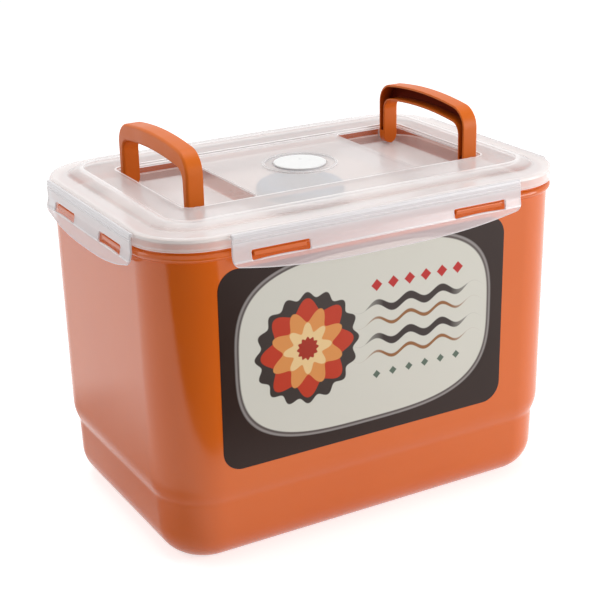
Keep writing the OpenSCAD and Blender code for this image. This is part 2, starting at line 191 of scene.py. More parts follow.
def even_shading(obj):
    """Smooth faces, crisp edges and area weighted normals."""
    obj.data.polygons.foreach_set("use_smooth", [True] * len(obj.data.polygons))
    obj.data.set_sharp_from_angle(angle=math.radians(CRISP_ANGLE))
    weighted = obj.modifiers.new("even shading", "WEIGHTED_NORMAL")
    weighted.keep_sharp = True
    settle(obj)


print("edges over", CRISP_ANGLE, "degrees stay crisp")

# %% [markdown]
# A vertex value, the veil, rides along: it is painted light on frosted plastic. Where it is positive,
# the plastic is painted whiter, a painted highlight for the light that real frosting gathers in its rims
# by scattering inside the wall, which is slow to render. Where it is negative, the plastic is clearer and
# takes a painted rose tint. Here the fillets are found by their narrow faces and get the full veil, and a
# piece can set its own values before it is finished.

# %% Fillets, the veil of painted light and the finish
PAINTED_LIGHT_MARK = "veil"
FILLET_STRIP = 0.33
FILLET_TURN = 4.0


def is_fillet_strip(face):
    """True for a narrow face that turns away from its neighbours along both of its long edges."""
    longest = sorted(face.edges, key=lambda edge: edge.calc_length())[-2:]
    width = face.calc_area() / longest[-1].calc_length()
    turn = min(edge.calc_face_angle(0.0) for edge in longest)
    return width < FILLET_STRIP * MM and turn > math.radians(FILLET_TURN)


def painted_light_layer(bm):
    """The veil: painted light, whiter where positive, clearer with a rose tint where negative."""
    return bm.verts.layers.float.get(PAINTED_LIGHT_MARK) or bm.verts.layers.float.new(PAINTED_LIGHT_MARK)


def mark_fillets(obj):
    """Sets the veil to 1, a painted highlight, where every face around is a strip of a fillet."""
    bm = bmesh.new()
    bm.from_mesh(obj.data)
    layer = painted_light_layer(bm)
    strips = {face for face in bm.faces if is_fillet_strip(face)}
    for vert in bm.verts:
        if all(face in strips for face in vert.link_faces):
            vert[layer] = 1.0
    bm.to_mesh(obj.data)
    bm.free()


def finish_piece(obj, node, body, material):
    """Gives a piece its finish and puts it in place of its solid."""
    obj.data.materials.clear()
    obj.data.materials.append(material)
    mark_fillets(obj)
    even_shading(obj)
    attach(obj, body)
    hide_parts(node)
    print(f"{obj.name}: {len(obj.data.polygons)} faces, rides on {body}")


print("strips of a fillet are under", FILLET_STRIP, "mm wide")

# %% [markdown]
# The camera comes first, because it decides which faces count most.
# It stands to the left of the front and looks down about twenty degrees, a little over a metre away. The
# picture is turned by a degree or so, as a hand-held one is. The distance matters more than the lens: it
# sets how fast the far end of the lid shrinks.

# %% The camera
CAMERA_AT = Vector((-519.1, -924.4, 545.3))
CAMERA_AIM = Vector((-2.81, -0.51, 144.85))
CAMERA_ROLL = -1.3
LENS = 86.67
SENSOR = 36.0
NEAREST = 50.0


def camera_turn():
    """Rotation that looks from the camera's place at its aim, with its roll."""
    back = (CAMERA_AT - CAMERA_AIM).normalized()
    right = Vector((0, 0, 1)).cross(back).normalized()
    up = back.cross(right)
    c = math.cos(math.radians(CAMERA_ROLL))
    s = math.sin(math.radians(CAMERA_ROLL))
    across = right * c + up * s
    upward = up * c - right * s
    return Matrix((across, upward, back)).transposed()


camera_data = bpy.data.cameras.new("camera")
camera_data.lens = LENS
camera_data.sensor_width = SENSOR
camera_data.clip_start = NEAREST * MM
camera = bpy.data.objects.new("camera", camera_data)
camera.matrix_world = Matrix.Translation(CAMERA_AT * MM) @ camera_turn().to_4x4()
bpy.context.scene.collection.objects.link(camera)
bpy.context.scene.camera = camera
print("camera at", [round(v) for v in CAMERA_AT], "mm")

# %% [markdown]
# The studio and the finishes are built from shader nodes. Three helpers keep that short: one feeds a socket
# with a link or a plain value, one writes a step of arithmetic, and one starts a material.

# %% Node helpers
def feed(tree, socket, value):
    """Links a socket to another one, or sets it to a plain value."""
    if isinstance(value, bpy.types.NodeSocket):
        tree.links.new(value, socket)
    else:
        socket.default_value = value


def math_node(tree, operation, *values):
    """A math node; each value is a number or a socket."""
    node = tree.nodes.new("ShaderNodeMath")
    node.operation = operation
    for socket, value in zip(node.inputs, values):
        feed(tree, socket, value)
    return node.outputs[0]


def new_material(name):
    """An empty material: itself, its node tree and its shader."""
    material = bpy.data.materials.new(name)
    material.use_nodes = True
    return material, material.node_tree, material.node_tree.nodes["Principled BSDF"]


print("node helpers:", [helper.__name__ for helper in (feed, math_node, new_material)])

# %% [markdown]
# The studio is a white floor, a white surround and soft lamps. The surround shows as plain white to the
# camera and in reflections, and lights the keeper at a lower level, so colours render about as they are
# written.

# %% The surround
WORLD_LEVEL = 0.36
WHITE = (1, 1, 1, 1)


def light_path_mask(tree):
    """One where a ray comes from the camera, a reflection or a transmission."""
    path = tree.nodes.new("ShaderNodeLightPath")
    direct = math_node(tree, "MAXIMUM", path.outputs["Is Camera Ray"], path.outputs["Is Glossy Ray"])
    return math_node(tree, "MAXIMUM", direct, path.outputs["Is Transmission Ray"])


def make_world():
    """A surround that is white to look at and lights the keeper at a lower level."""
    world = bpy.data.worlds.new("white surround")
    world.use_nodes = True
    tree = world.node_tree
    background = tree.nodes["Background"]
    background.inputs["Color"].default_value = WHITE
    level = tree.nodes.new("ShaderNodeMapRange")
    level.inputs["To Min"].default_value = WORLD_LEVEL
    level.inputs["To Max"].default_value = 1.0
    tree.links.new(light_path_mask(tree), level.inputs["Value"])
    tree.links.new(level.outputs["Result"], background.inputs["Strength"])
    bpy.context.scene.world = world


make_world()
print("the surround lights the keeper at a level of", WORLD_LEVEL)

# %% [markdown]
# The floor is paper that glows for the camera and in reflections, so it looks as white as the surround and
# still takes the shadow of the keeper. In a strip beside the left end it carries a painted shade that shows
# in reflections only, which settles the foot of that wall.

# %% The floor
FLOOR_HALF = 6000.0
FLOOR_GLOW = 0.68
FLOOR_GREY = (0.80, 0.80, 0.80, 1)
FLOOR_ROUGH = 0.9
FLOOR_SHINE = 0.1
POOL_AT = (-212, 40)
POOL_HALF = (14, 160)
POOL_REACH = 60
POOL_LEVEL = 0.1


def flat_sheet(name, low, high, z):
    """A level rectangle of the stage."""
    bm = bmesh.new()
    corners = (low, (high[0], low[1]), high, (low[0], high[1]))
    bm.faces.new(add_loop(bm, [(x, y, z) for x, y in corners]))
    return as_object(name, bm, outward=False)


def near_shade(tree):
    """Painted shade: one, falling to a set level in a strip beside the left end, for reflections only."""
    place = tree.nodes.new("ShaderNodeSeparateXYZ")
    tree.links.new(tree.nodes.new("ShaderNodeTexCoord").outputs["Object"], place.inputs["Vector"])
    gaps = []
    for axis, middle, half in zip("XY", POOL_AT, POOL_HALF):
        offset = math_node(tree, "SUBTRACT", place.outputs[axis], middle * MM)
        away = math_node(tree, "ABSOLUTE", offset)
        beyond = math_node(tree, "SUBTRACT", away, half * MM)
        gaps.append(math_node(tree, "MAXIMUM", beyond, 0.0))
    squares = [math_node(tree, "MULTIPLY", gap, gap) for gap in gaps]
    distance = math_node(tree, "SQRT", math_node(tree, "ADD", *squares))
    fade = tree.nodes.new("ShaderNodeMapRange")
    fade.inputs["From Max"].default_value = POOL_REACH * MM
    fade.inputs["To Min"].default_value = POOL_LEVEL
    tree.links.new(distance, fade.inputs["Value"])
    path = tree.nodes.new("ShaderNodeLightPath")
    spared = math_node(tree, "SUBTRACT", 1.0, path.outputs["Is Glossy Ray"])
    return math_node(tree, "MAXIMUM", fade.outputs["Result"], spared)


def make_floor():
    """A paper floor that takes the shadow and looks white where there is none."""
    floor = flat_sheet("floor", (-FLOOR_HALF, -FLOOR_HALF), (FLOOR_HALF, FLOOR_HALF), 0)
    material, tree, shader = new_material("white paper floor")
    shader.inputs["Base Color"].default_value = FLOOR_GREY
    shader.inputs["Roughness"].default_value = FLOOR_ROUGH
    shader.inputs["Specular IOR Level"].default_value = FLOOR_SHINE
    shader.inputs["Emission Color"].default_value = WHITE
    glow = math_node(tree, "MULTIPLY", light_path_mask(tree), FLOOR_GLOW)
    tree.links.new(math_node(tree, "MULTIPLY", glow, near_shade(tree)), shader.inputs["Emission Strength"])
    floor.data.materials.append(material)


make_floor()
print("the floor is", 2 * FLOOR_HALF, "mm wide")

# %% [markdown]
# Glossy orange plastic needs something dark to reflect. A dark card lies on the floor in front and shows
# only in reflections, where it draws the deep band that runs down the near corner. Three soft lamps light
# the keeper: one overhead, a weak one behind on the left, and a low one on the right that brightens the
# front.

# %% The dark card and the lamps
CARD_LOW = (-2600, -2600)
CARD_HIGH = (120, -285)
CARD_Z = 0.4
CARD_GREY = (0.03, 0.03, 0.03, 1)
LAMPS = (
    ("overhead softbox", (100, 300, 1800), (0, 0, 150), (1400, 1200), 15),
    ("left softbox", (-1300, 900, 900), (0, 0, 120), (1000, 1000), 5),
    ("right softbox", (1300, -1300, 480), (0, 0, 60), (1000, 1000), 18),
)


def make_card():
    """A dark card just above the floor that only reflections can see."""
    card = flat_sheet("dark_card", CARD_LOW, CARD_HIGH, CARD_Z)
    material, tree, shader = new_material("dark reflection card")
    tree.nodes.remove(shader)
    clear = tree.nodes.new("ShaderNodeBsdfTransparent")
    dark = tree.nodes.new("ShaderNodeBsdfDiffuse")
    dark.inputs["Color"].default_value = CARD_GREY
    choose = tree.nodes.new("ShaderNodeMixShader")
    path = tree.nodes.new("ShaderNodeLightPath")
    tree.links.new(path.outputs["Is Glossy Ray"], choose.inputs["Fac"])
    tree.links.new(clear.outputs[0], choose.inputs[1])
    tree.links.new(dark.outputs[0], choose.inputs[2])
    tree.links.new(choose.outputs[0], tree.nodes["Material Output"].inputs["Surface"])
    card.data.materials.append(material)


def soft_lamp(name, place, aim, size, watts):
    """A rectangular soft lamp, its place, aim and size in millimetres."""
    data = bpy.data.lights.new(name, "AREA")
    data.shape = "RECTANGLE"
    data.size = size[0] * MM
    data.size_y = size[1] * MM
    data.energy = watts
    lamp = bpy.data.objects.new(name, data)
    toward = (Vector(aim) - Vector(place)).to_track_quat("-Z", "Y")
    lamp.matrix_world = Matrix.Translation(Vector(place) * MM) @ toward.to_matrix().to_4x4()
    bpy.context.scene.collection.objects.link(lamp)


make_card()
bpy.context.scene.view_settings.view_transform = "Standard"
for lamp_values in LAMPS:
    soft_lamp(*lamp_values)

# %% [markdown]
# No moulding is even all over, so every finish needs noise that changes over the surface. Most noise values
# lie near the middle, and spreading that part onto a range makes use of the whole of it.

# %% Noise and colour nodes
NOISE_LOW = 0.3
NOISE_HIGH = 0.7
MIX_AMOUNT = 0
MIX_FIRST = 6
MIX_SECOND = 7
MIX_RESULT = 2


def noise(tree, vector, scale, detail):
    """A noise value; the scale counts its waves to the metre."""
    node = tree.nodes.new("ShaderNodeTexNoise")
    node.inputs["Scale"].default_value = scale
    node.inputs["Detail"].default_value = detail
    tree.links.new(vector, node.inputs["Vector"])
    return node.outputs["Fac"]


def spread(tree, value, low, high):
    """Maps a noise value onto a range; the ends may be sockets."""
    node = tree.nodes.new("ShaderNodeMapRange")
    for label, end in (("Value", value), ("From Min", NOISE_LOW), ("From Max", NOISE_HIGH),
                       ("To Min", low), ("To Max", high)):
        feed(tree, node.inputs[label], end)
    return node.outputs["Result"]


def mix_colour(tree, amount, first, second):
    """Lays a second colour over a first one; a Mix node keeps its colour sockets at fixed places."""
    node = tree.nodes.new("ShaderNodeMix")
    node.data_type = "RGBA"
    for index, value in ((MIX_AMOUNT, amount), (MIX_FIRST, first), (MIX_SECOND, second)):
        feed(tree, node.inputs[index], value)
    return node.outputs[MIX_RESULT]


print("noise from", NOISE_LOW, "to", NOISE_HIGH, "is spread onto a range")

# %% [markdown]
# Every plastic here is moulded in a polished steel tool, so one effect serves them all: a faint drift of
# colour from the pigment, a fine ripple left by the tool, and gloss that varies a little with handling.
# It is made once as a node group with named inputs, and each material gives it its own colour and strength.
# The group only puts out values that change over the surface. The shader itself stays in each material.

# %% The moulded surface group
DRIFT = {"scale": 14.0, "detail": 3.0}
HANDLING = {"scale": 60.0, "detail": 5.0}
RIPPLE = {"scale": 420.0, "detail": 2.0}


def new_group(name, inputs, outputs):
    """A shader node group with named sockets."""
    group = bpy.data.node_groups.new(name, "ShaderNodeTree")
    for label, kind in inputs:
        group.interface.new_socket(name=label, in_out="INPUT", socket_type=kind)
    for label, kind in outputs:
        group.interface.new_socket(name=label, in_out="OUTPUT", socket_type=kind)
    return group, group.nodes.new("NodeGroupInput"), group.nodes.new("NodeGroupOutput")


def make_moulded_group():
    """The surface that all plastics and the label share."""
    group, given, out = new_group(
        "moulded surface",
        (("Pigment", "NodeSocketColor"), ("Pale Pigment", "NodeSocketColor"),
         ("Smooth", "NodeSocketFloat"), ("Rubbed", "NodeSocketFloat")),
        (("Color", "NodeSocketColor"), ("Roughness", "NodeSocketFloat"), ("Height", "NodeSocketFloat")))
    place = group.nodes.new("ShaderNodeTexCoord").outputs["Object"]
    drift = spread(group, noise(group, place, **DRIFT), 0.0, 1.0)
    handling = noise(group, place, **HANDLING)
    ripple = noise(group, place, **RIPPLE)
    pigment = mix_colour(group, drift, given.outputs["Pigment"], given.outputs["Pale Pigment"])
    group.links.new(pigment, out.inputs["Color"])
    gloss = spread(group, handling, given.outputs["Smooth"], given.outputs["Rubbed"])
    group.links.new(gloss, out.inputs["Roughness"])
    group.links.new(ripple, out.inputs["Height"])
    return group


moulded_group = make_moulded_group()
print("group sockets:", [s.name for s in moulded_group.interface.items_tree])

# %% [markdown]
# Plastics and rubbers differ in colour, gloss and how much they cover, not in how they are made, so one
# function builds all of them. Colours are written as they look on a screen and turned into light values,
# and each finish places the moulded surface group with its own pigments and gloss.

# %% How a finish is made
COAT_ROUGH = 0.12


def light_value(channel):
    """A screen colour channel, 0 to 255, as a linear light value, by the usual screen curve."""
    c = channel / 255
    return c / 12.92 if c <= 0.04045 else ((c + 0.055) / 1.055) ** 2.4


def colour(red, green, blue):
    """A screen colour as the shader wants it."""
    return (light_value(red), light_value(green), light_value(blue), 1.0)


def moulded_surface(tree, pigment, pale, smooth, rubbed):
    """Places the moulded surface group with its own colours and gloss."""
    surface = tree.nodes.new("ShaderNodeGroup")
    surface.node_tree = moulded_group
    surface.inputs["Pigment"].default_value = colour(*pigment)
    surface.inputs["Pale Pigment"].default_value = colour(*pale)
    surface.inputs["Smooth"].default_value = smooth
    surface.inputs["Rubbed"].default_value = rubbed
    return surface


def moulded_material(name, pigment, pale, smooth, rubbed, ripple=0.0, ior=1.5, coat=0.0):
    """A moulded material; ripple is the depth of the tool marks in millimetres."""
    material, tree, shader = new_material(name)
    surface = moulded_surface(tree, pigment, pale, smooth, rubbed)
    tree.links.new(surface.outputs["Color"], shader.inputs["Base Color"])
    tree.links.new(surface.outputs["Roughness"], shader.inputs["Roughness"])
    if ripple:
        bump = tree.nodes.new("ShaderNodeBump")
        bump.inputs["Strength"].default_value = 1.0
        bump.inputs["Distance"].default_value = ripple * MM
        tree.links.new(surface.outputs["Height"], bump.inputs["Height"])
        tree.links.new(bump.outputs["Normal"], shader.inputs["Normal"])
    shader.inputs["IOR"].default_value = ior
    shader.inputs["Coat Weight"].default_value = coat
    shader.inputs["Coat Roughness"].default_value = COAT_ROUGH
    return material


print("a mid grey as light:", round(light_value(128), 3))

# %% [markdown]
# Frosted plastic covers what lies under it by a share: little seen square on, more at a flat angle, and
# more or less by the veil of the mesh, whose white is a painted highlight. Where the veil is negative,
# walls get a painted rose tint that stands in for the orange tub's light glowing through them.
# The deep channel on the inside of the grips is given painted shade, a darker colour with a duller gloss,
# by a mark of its own.

# %% See-through finishes and the painted shade in the grips' channel
SLANT_BLEND = 0.5
SLANT_POWER = 2.0
PAINTED_GLOW_GAIN = 4.0
PAINTED_GLOW_TINT = (240, 140, 128)
CHANNEL_SHADE_MARK = "hollow"
HOLLOW_SHINE = 0.3


def let_through(material, square_on, edge_on, on_painted_light, lamp_share):
    """Makes a material see-through: its cover square on, edge on, for a veil of 1, and toward lamps."""
    tree = material.node_tree
    slant = tree.nodes.new("ShaderNodeLayerWeight")
    slant.inputs["Blend"].default_value = SLANT_BLEND
    bend = math_node(tree, "POWER", slant.outputs["Facing"], SLANT_POWER)
    cover = math_node(tree, "MULTIPLY_ADD", bend, edge_on - square_on, square_on)
    mark = tree.nodes.new("ShaderNodeAttribute")
    mark.attribute_name = PAINTED_LIGHT_MARK
    # A positive veil adds white cover: a painted highlight.
    white = math_node(tree, "MULTIPLY", mark.outputs["Fac"], on_painted_light)
    seen = math_node(tree, "ADD", cover, white)
    path = tree.nodes.new("ShaderNodeLightPath")
    unseen = math_node(tree, "MAXIMUM", path.outputs["Is Shadow Ray"], path.outputs["Is Diffuse Ray"])
    share = math_node(tree, "MULTIPLY_ADD", unseen, lamp_share - 1.0, 1.0)
    alpha = math_node(tree, "MULTIPLY", seen, share)
    alpha.node.use_clamp = True
    shader = tree.nodes["Principled BSDF"]
    tree.links.new(alpha, shader.inputs["Alpha"])
    # Painted rose tint where the veil is negative: it stands in for the orange tub's light showing through.
    painted_glow_share = math_node(tree, "MULTIPLY", mark.outputs["Fac"], -PAINTED_GLOW_GAIN)
    painted_glow_share.node.use_clamp = True
    pigment = shader.inputs["Base Color"].links[0].from_socket
    tinted = mix_colour(tree, painted_glow_share, pigment, colour(*PAINTED_GLOW_TINT))
    tree.links.new(tinted, shader.inputs["Base Color"])


def shade_hollow(material, shade):
    """Lays painted shade over a material where a piece is marked: a darker colour and a duller gloss."""
    tree = material.node_tree
    shader = tree.nodes["Principled BSDF"]
    mark = tree.nodes.new("ShaderNodeAttribute")
    mark.attribute_name = CHANNEL_SHADE_MARK
    pigment = shader.inputs["Base Color"].links[0].from_socket
    shaded = mix_colour(tree, mark.outputs["Fac"], pigment, colour(*shade))
    tree.links.new(shaded, shader.inputs["Base Color"])
    rough = shader.inputs["Roughness"].links[0].from_socket
    matt = math_node(tree, "MAXIMUM", rough, mark.outputs["Fac"])
    tree.links.new(matt, shader.inputs["Roughness"])
    shader.inputs["Specular IOR Level"].default_value = HOLLOW_SHINE


print("clear walls lean to", PAINTED_GLOW_TINT)

# %% [markdown]
# Eight finishes follow. The tub is polished, the grips are duller, and lid and flaps have a thin gloss coat
# over their frosting. The seals are milky and let nothing through, as thick soft rubber does.

# %% Plastic and rubber finishes
clay_plastic = moulded_material(
    "clay orange plastic", (223, 101, 19), (226, 105, 23), smooth=0.13, rubbed=0.17, ripple=0.002)
handle_plastic = moulded_material(
    "clay orange grip plastic", (224, 108, 24), (227, 112, 28), smooth=0.34, rubbed=0.42, ripple=0.004,
    ior=1.42)
# Painted shade for the grips' channel.
shade_hollow(handle_plastic, (112, 32, 8))
frosted_plastic = moulded_material(
    "frosted lid plastic", (252, 246, 245), (254, 249, 248), smooth=0.20, rubbed=0.26, coat=0.4)
let_through(frosted_plastic, square_on=0.24, edge_on=0.62, on_painted_light=0.65, lamp_share=0.10)
# The flaps' pigment is greyer than the lid's: painted shade, for the lower light on their upright faces.
flap_plastic = moulded_material(
    "frosted flap plastic", (236, 232, 234), (240, 236, 238), smooth=0.20, rubbed=0.26, coat=0.4)
let_through(flap_plastic, square_on=0.38, edge_on=0.80, on_painted_light=0.50, lamp_share=0.25)
# The plate's pigment leans warm: partly its own milky tone, partly a painted glow of the tub's orange
# light.
plate_plastic = moulded_material(
    "frosted plate plastic", (242, 222, 214), (246, 227, 219), smooth=0.24, rubbed=0.32)
let_through(plate_plastic, square_on=0.6, edge_on=0.85, on_painted_light=0.20, lamp_share=0.08)
# The seal rubber leans warm: partly its own milky tone, partly a painted glow of the tub's orange light.
clear_silicone = moulded_material(
    "milky seal rubber", (240, 216, 204), (244, 222, 210), smooth=0.45, rubbed=0.6, ripple=0.02, ior=1.41)
white_plastic = moulded_material(
    "white vent plastic", (246, 247, 246), (250, 250, 249), smooth=0.25, rubbed=0.35, ripple=0.008)
slate_silicone = moulded_material(
    "slate valve rubber", (58, 96, 128), (64, 103, 135), smooth=0.4, rubbed=0.55, ripple=0.02)
print("finishes:", [m.name for m in bpy.data.materials])

# %% [markdown]
# The tub is one outline swept round the core rectangle, which is a rule that Geometry Nodes can hold: a
# rounded rectangle is the path, and the outline is the profile. The same small tree later sweeps the seals
# and the press plate. The outline runs from the edge of the base, up the outside, over the lip and down
# the inside, and the two flat ends are closed afterwards.

# %% A tree that sweeps an outline round the keeper
def geometry_tree(name, inputs, output):
    """An empty Geometry Nodes tree with named sockets, and the identifiers of its inputs."""
    tree = bpy.data.node_groups.new(name, "GeometryNodeTree")
    sockets = {}
    for label, kind in inputs:
        sockets[label] = tree.interface.new_socket(name=label, in_out="INPUT", socket_type=kind).identifier
    tree.interface.new_socket(name=output, in_out="OUTPUT", socket_type="NodeSocketGeometry")
    return tree, sockets


def set_inputs(modifier, tree, sockets, values):
    """Gives a modifier its tree and the values of the tree's inputs."""
    modifier.node_group = tree
    for label, value in values.items():
        modifier[sockets[label]] = value


def sweep_tree():
    """The tree: a rounded rectangle as the path, and the outline carried along it."""
    tree, sockets = geometry_tree(
        "sweep round the keeper",
        (("Outline", "NodeSocketGeometry"), ("Path Length", "NodeSocketFloat"),
         ("Path Width", "NodeSocketFloat"), ("Corner Radius", "NodeSocketFloat"),
         ("Corner Steps", "NodeSocketInt"), ("Finish", "NodeSocketMaterial")),
        "Swept")
    given = tree.nodes.new("NodeGroupInput")
    out = tree.nodes.new("NodeGroupOutput")
    path = tree.nodes.new("GeometryNodeCurvePrimitiveQuadrilateral")
    rounded = tree.nodes.new("GeometryNodeFilletCurve")
    level = tree.nodes.new("GeometryNodeSetCurveNormal")
    profile = tree.nodes.new("GeometryNodeMeshToCurve")
    sweep = tree.nodes.new("GeometryNodeCurveToMesh")
    merge = tree.nodes.new("GeometryNodeMergeByDistance")
    realize = tree.nodes.new("GeometryNodeRealizeInstances")
    paint = tree.nodes.new("GeometryNodeSetMaterial")
    rounded.mode = "POLY"
    rounded.inputs["Limit Radius"].default_value = False
    level.mode = "Z_UP"
    merge.inputs["Distance"].default_value = MERGE * MM
    for source, target in ((given.outputs["Path Length"], path.inputs["Width"]),
                           (given.outputs["Path Width"], path.inputs["Height"]),
                           (path.outputs["Curve"], rounded.inputs["Curve"]),
                           (given.outputs["Corner Radius"], rounded.inputs["Radius"]),
                           (given.outputs["Corner Steps"], rounded.inputs["Count"]),
                           (rounded.outputs["Curve"], level.inputs["Curve"]),
                           (given.outputs["Outline"], profile.inputs["Mesh"]),
                           (level.outputs["Curve"], sweep.inputs["Curve"]),
                           (profile.outputs["Curve"], sweep.inputs["Profile Curve"]),
                           (sweep.outputs["Mesh"], merge.inputs["Geometry"]),
                           (merge.outputs["Geometry"], realize.inputs["Geometry"]),
                           (realize.outputs["Geometry"], paint.inputs["Geometry"]),
                           (given.outputs["Finish"], paint.inputs["Material"]),
                           (paint.outputs["Geometry"], out.inputs["Swept"])):
        tree.links.new(source, target)
    return tree, sockets


SWEEP, SWEEP_SOCKETS = sweep_tree()
print("sweep inputs:", list(SWEEP_SOCKETS))

# %% [markdown]
# A helper gives the tree an outline and the keeper's sizes. The result is settled into a plain mesh,
# doubles are merged and the two flat ends are closed, so that the piece is one closed shell.

# %% Sweep an outline
def swept(name, outline, material, closed=False):
    """Sweeps an outline of (distance from the core, height) round the keeper and closes its ends."""
    mesh = bpy.data.meshes.new(name)
    points = [((out - RIM_OUT) * MM, -z * MM, 0) for out, z in outline]
    edges = [(i, i + 1) for i in range(len(points) - 1)]
    if closed:
        edges.append((len(points) - 1, 0))
    mesh.from_pydata(points, edges, [])
    obj = bpy.data.objects.new(name, mesh)
    bpy.context.scene.collection.objects.link(obj)
    set_inputs(obj.modifiers.new("sweep", "NODES"), SWEEP, SWEEP_SOCKETS, {
        "Path Length": 2 * (CORE_X + RIM_OUT) * MM,
        "Path Width": 2 * (CORE_Y + RIM_OUT) * MM,
        "Corner Radius": RIM_OUT * MM,
        "Corner Steps": CORNER_STEPS,
        "Finish": material,
    })
    settle(obj)
    bm = bmesh.new()
    bm.from_mesh(obj.data)
    bmesh.ops.remove_doubles(bm, verts=bm.verts, dist=MERGE * MM)
    open_edges = [edge for edge in bm.edges if edge.is_boundary]
    bmesh.ops.holes_fill(bm, edges=open_edges, sides=0)
    bmesh.ops.recalc_face_normals(bm, faces=bm.faces)
    bm.to_mesh(obj.data)
    bm.free()
    return obj


print("the path is", 2 * (CORE_X + RIM_OUT), "by", 2 * (CORE_Y + RIM_OUT), "mm")

# %% [markdown]
# The tub narrows to its foot in a soft step, which moulders add to stiffen a thin wall. The step is an arc
# that leaves the upper wall smoothly and meets the lower band in a crease. The crease is blended over a few
# millimetres, since no mould cuts a knife-sharp inner corner.

# %% The step in the tub's wall
RIM_Z = 247.0
STEP_TOP_OUT = 41.4
STEP_TOP_Z = 67.5
CREASE_OUT = 37.7
CREASE_Z = 51.5
CREASE_STEPS = 5
STEP_IN = STEP_TOP_OUT - CREASE_OUT
STEP_RISE = STEP_TOP_Z - CREASE_Z
STEP_R = (STEP_IN ** 2 + STEP_RISE ** 2) / (2 * STEP_IN)
STEP_ANGLE = math.degrees(math.asin(STEP_RISE / STEP_R))
STEP_STEPS = 12


def wall_out(z):
    """Distance of the upper wall from the core at a height."""
    return RIM_OUT - (RIM_OUT - STEP_TOP_OUT) * (RIM_Z - z) / (RIM_Z - STEP_TOP_Z)


def soft_corner(before, corner, after):
    """A corner drawn as a short curve between two points."""
    knots = (before, corner, after)
    points = []
    for i in range(CREASE_STEPS + 1):
        t = i / CREASE_STEPS
        weights = ((1 - t) ** 2, 2 * t * (1 - t), t ** 2)
        points.append(tuple(sum(w * p[k] for w, p in zip(weights, knots)) for k in (0, 1)))
    return points


def step_arc(set_in):
    """The soft step, set in by a distance, from the crease upwards."""
    return arc((STEP_TOP_OUT - set_in - STEP_R, STEP_TOP_Z), STEP_R, -STEP_ANGLE, 0, STEP_STEPS)


print("the step's radius is", round(STEP_R, 1), "mm")

# %% [markdown]
# The whole outline has a large fillet at the base, a sloping lower band, the step, a nearly upright wall
# and a half-round bead under the rim, which keeps the opening from bowing. It then runs down the inside to
# the floor, so that the sweep gives the wall its thickness without a modifier.

# %% The tub
WALL = 2.2
CREASE_SOFT = 2.5
CREASE_LEAN = 0.1
CREASE_REACH = 2
LOW_OUT = 36.9
BASE_FILLET = 26.0
BASE_STEPS = 18
FLOOR_Z = 3.0
FLOOR_STEPS = 12
BEAD_OUT = 42.75
BEAD_Z = 237.15
BEAD_R = 2.85
BEAD_TURN = 75
BEAD_STEPS = 14
BEAD_FOOT = (0.1, 0.5)
LIP_EDGE = 0.9
LIP_STEPS = 5
RIM_INSIDE = 39.4


def tub_outline():
    """The whole outline, from the edge of the base round to the edge of the floor inside."""
    middle = LOW_OUT - BASE_FILLET
    base = arc((middle, BASE_FILLET), BASE_FILLET, -90, 0, BASE_STEPS)
    step = step_arc(0)
    below = (CREASE_OUT - CREASE_LEAN, CREASE_Z - CREASE_SOFT)
    crease = soft_corner(below, step[0], step[CREASE_REACH])
    bead_low = BEAD_Z - BEAD_R
    bead = [(wall_out(bead_low) + BEAD_FOOT[0], bead_low - BEAD_FOOT[1])]
    bead += arc((BEAD_OUT, BEAD_Z), BEAD_R, -BEAD_TURN, BEAD_TURN, BEAD_STEPS)
    bead += [(RIM_OUT, BEAD_Z + BEAD_R)]
    lip = arc((RIM_OUT - LIP_EDGE, RIM_Z - LIP_EDGE), LIP_EDGE, 0, 90, LIP_STEPS)
    lip += arc((RIM_INSIDE + LIP_EDGE, RIM_Z - LIP_EDGE), LIP_EDGE, 90, 180, LIP_STEPS)
    inside = list(reversed(step_arc(WALL)))
    bottom = arc((middle, BASE_FILLET + FLOOR_Z - WALL), BASE_FILLET - WALL, 0, -90, FLOOR_STEPS)
    return base + crease + step[CREASE_REACH + 1:] + bead + lip + inside + bottom


tub = swept("tub_shell", tub_outline(), clay_plastic)
print("tub outline points:", len(tub_outline()))

# %% [markdown]
# Eight catch bars stand on the rim, two on each side, and the slots of the flaps snap over them. They
# repeat, so a second tree sets one bar at two points along a side, turns a copy to the far side and
# realizes both. Copies in a loop would do as well, but a tree keeps the rule in one place.

# %% A tree that sets the catch bars
BARS_ON_A_SIDE = 2


